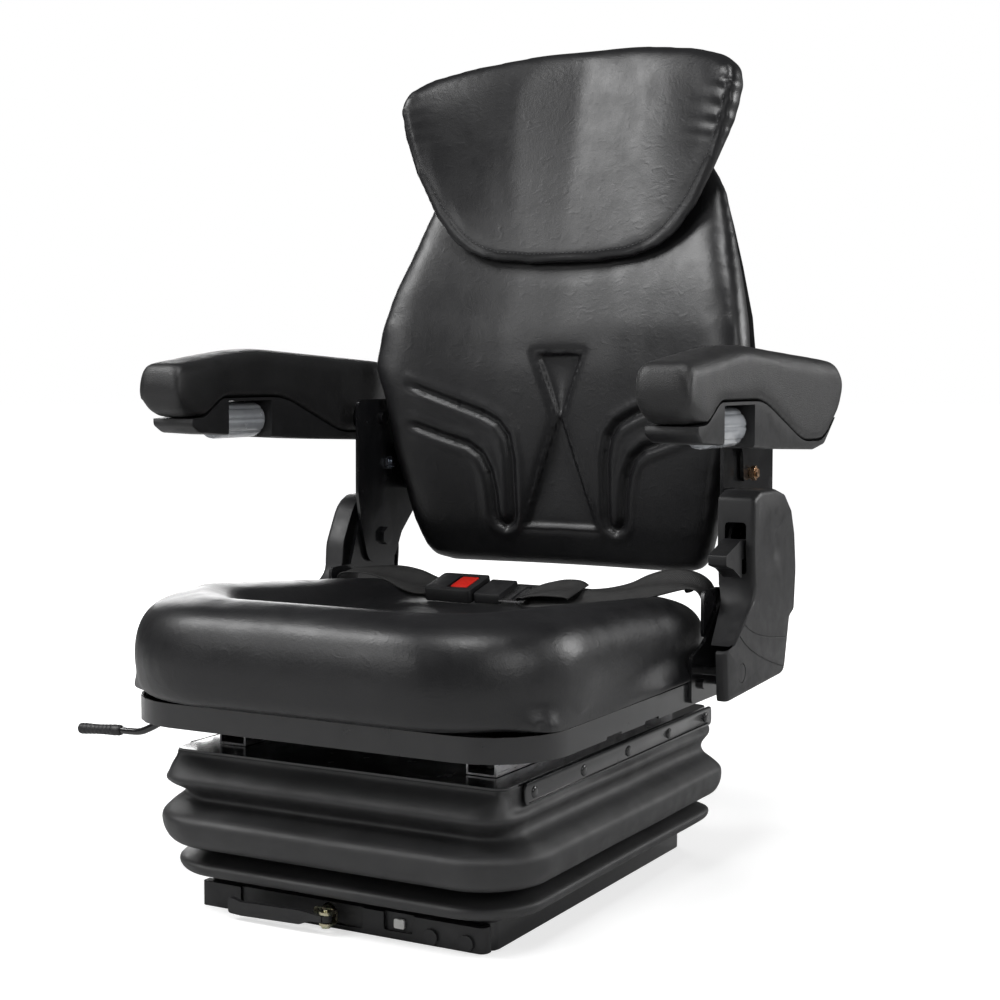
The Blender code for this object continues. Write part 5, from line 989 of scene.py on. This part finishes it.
def block(low, high, corner, edge):
    """A bmesh box with rounded upright corners and softened edges."""
    bm = bmesh.new()
    bmesh.ops.create_cube(bm, size=1.0)
    low, high = Vector(low), Vector(high)
    bmesh.ops.scale(bm, verts=bm.verts, vec=high - low)
    bmesh.ops.translate(bm, verts=bm.verts, vec=(low + high) / 2)
    upright = [e for e in bm.edges if abs(e.verts[0].co.z - e.verts[1].co.z) > 0.5 * (high.z - low.z)]
    if corner:
        bmesh.ops.bevel(bm, geom=upright, offset=corner, affect="EDGES", segments=4, profile=0.5, material=-1)
    rims = [e for e in bm.edges if len(e.link_faces) == 2 and e.calc_face_angle() > math.radians(50)]
    bmesh.ops.bevel(bm, geom=rims, offset=edge, affect="EDGES", segments=2, profile=0.5, material=-1)
    return bm


def cut_out(piece, *cutters):
    """Cuts each of the bmesh cutters out of the piece."""
    for bm in cutters:
        mesh = bpy.data.meshes.new("cutter")
        bm.to_mesh(mesh)
        bm.free()
        cutter = bpy.data.objects.new("cutter", mesh)
        scene.collection.objects.link(cutter)
        cut = piece.modifiers.new("cut", "BOOLEAN")
        cut.operation = "DIFFERENCE"
        cut.solver = "EXACT"
        cut.object = cutter
        baked(piece)
        bpy.data.objects.remove(cutter)
        bpy.data.meshes.remove(mesh)
    return piece


rest_line, buckle_lean = Vector((0.0, 0.113, 0.2850)), math.radians(15)


def leaned(bm):
    """Tips the belt's hard parts towards the front, about the line that they rest on."""
    bmesh.ops.rotate(bm, verts=bm.verts, cent=rest_line, matrix=Matrix.Rotation(buckle_lean, 3, "X"))
    return bm


buckle_block = leaned(block((-0.112, 0.113, 0.2850), (-0.048, 0.167, 0.3010), 0.0055, 0.0012))
buckle = bmesh_piece("buckle_body", buckle_block, moulding, "seat")
# the button's recess, with room for its stroke, and the slots of the tongue and the strap
cut_out(
    buckle,
    leaned(block((-0.0845, 0.1222, 0.2940), (-0.0565, 0.1575, 0.3110), 0.002, 0.0004)),
    leaned(block((-0.0600, 0.1215, 0.2895), (-0.0400, 0.1585, 0.2955), 0.001, 0.0004)),
    leaned(block((-0.1200, 0.1155, 0.2885), (-0.1040, 0.1645, 0.2945), 0.001, 0.0004)),
)
buckle.data.shade_smooth()
buckle.data.set_sharp_from_angle(angle=math.radians(30))
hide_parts("belt_buckle")
red_plastic = Finish("red_button", (0.70, 0.022, 0.012), 0.32)
red_plastic.tint(red_plastic.noise(200.0, 3.0), 0.4, 0.8, (0.60, 0.016, 0.010))
red_plastic.dull(red_plastic.noise(90.0, 3.0), 0.3, 0.7, 0.28, 0.40)
red_plastic.relief(red_plastic.noise(900.0, 2.0), 0.00004, 0.5)
press_block = leaned(block((-0.0803, 0.1240, 0.2985), (-0.0577, 0.1560, 0.3013), 0.0025, 0.0006))
press = bmesh_piece("buckle_press", press_block, red_plastic, "button")
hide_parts("belt_button")
tongue_parts = add_bmesh(
    leaned(block((-0.0455, 0.1155, 0.2850), (-0.0105, 0.1645, 0.2975), 0.003, 0.0022)),
    leaned(block((-0.0580, 0.1245, 0.2915), (-0.0440, 0.1555, 0.2935), 0.0005, 0.0003)),
)
tongue_block = bmesh_piece("tongue_block", tongue_parts, moulding, "seat", 40.0)
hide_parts("belt_tongue")
plate_block = leaned(block((-0.0300, 0.1160, 0.2885), (0.0200, 0.1640, 0.2907), 0.004, 0.0004))
plate = bmesh_piece("tongue_plate", plate_block, bright_steel, "seat")
cut_out(plate, leaned(block((0.0010, 0.1180, 0.2800), (0.0135, 0.1620, 0.3000), 0.002, 0.0003)))
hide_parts("belt_tongue")

right_strap, right_length = strap(
    "lap_strap_right",
    [
        (-0.1075, 0.1410, 0.2985, 15), (-0.1180, 0.1405, 0.2990, 16), (-0.1320, 0.1400, 0.3010, 22),
        (-0.1480, 0.1400, 0.3055, 26), (-0.1680, 0.1400, 0.3115, 20), (-0.1900, 0.1400, 0.3150, 12),
        (-0.2120, 0.1400, 0.3150, 5), (-0.2290, 0.1400, 0.3135, 2), (-0.2385, 0.1400, 0.3085, 0),
        (-0.2412, 0.1400, 0.2990, 0), (-0.2412, 0.1400, 0.2888, 0),
    ],
    "seat",
    0.0016,
)
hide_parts("belt_webbing_right")
left_strap, left_length = strap(
    "lap_strap_left",
    [
        (0.0790, 0.1405, 0.3035, 18), (0.0700, 0.1405, 0.3065, 18), (0.0500, 0.1405, 0.3060, 17),
        (0.0300, 0.1405, 0.3030, 16), (0.0190, 0.1405, 0.3000, 15), (0.0135, 0.1405, 0.2975, 15),
        (0.0125, 0.1405, 0.2945, 15), (0.0180, 0.1405, 0.2925, 15), (0.0320, 0.1405, 0.2925, 16),
        (0.0560, 0.1405, 0.2935, 18), (0.0800, 0.1405, 0.2965, 22), (0.1080, 0.1405, 0.2995, 25),
        (0.1380, 0.1405, 0.3055, 27), (0.1620, 0.1405, 0.3140, 30), (0.1860, 0.1405, 0.3205, 30),
        (0.2080, 0.1405, 0.3235, 24), (0.2240, 0.1405, 0.3225, 15), (0.2350, 0.1405, 0.3170, 6),
        (0.2410, 0.1405, 0.3060, 0), (0.2412, 0.1405, 0.2970, 0), (0.2412, 0.1405, 0.2888, 0),
    ],
    "seat",
    0.0018,
)
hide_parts("belt_webbing_left", "belt_keeper")
stud = turned(
    [(0.0, 0.0), (0.0, 0.0040), (0.0010, 0.0052), (0.0048, 0.0052), (0.0058, 0.0044), (0.0058, 0.0)],
    (0.2200, 0.1300, 0.3190), (0.2215, 0.1315, 0.3120), 24,
)
strap_stud = bmesh_piece("strap_stud", stud, moulding, "seat", 40.0)
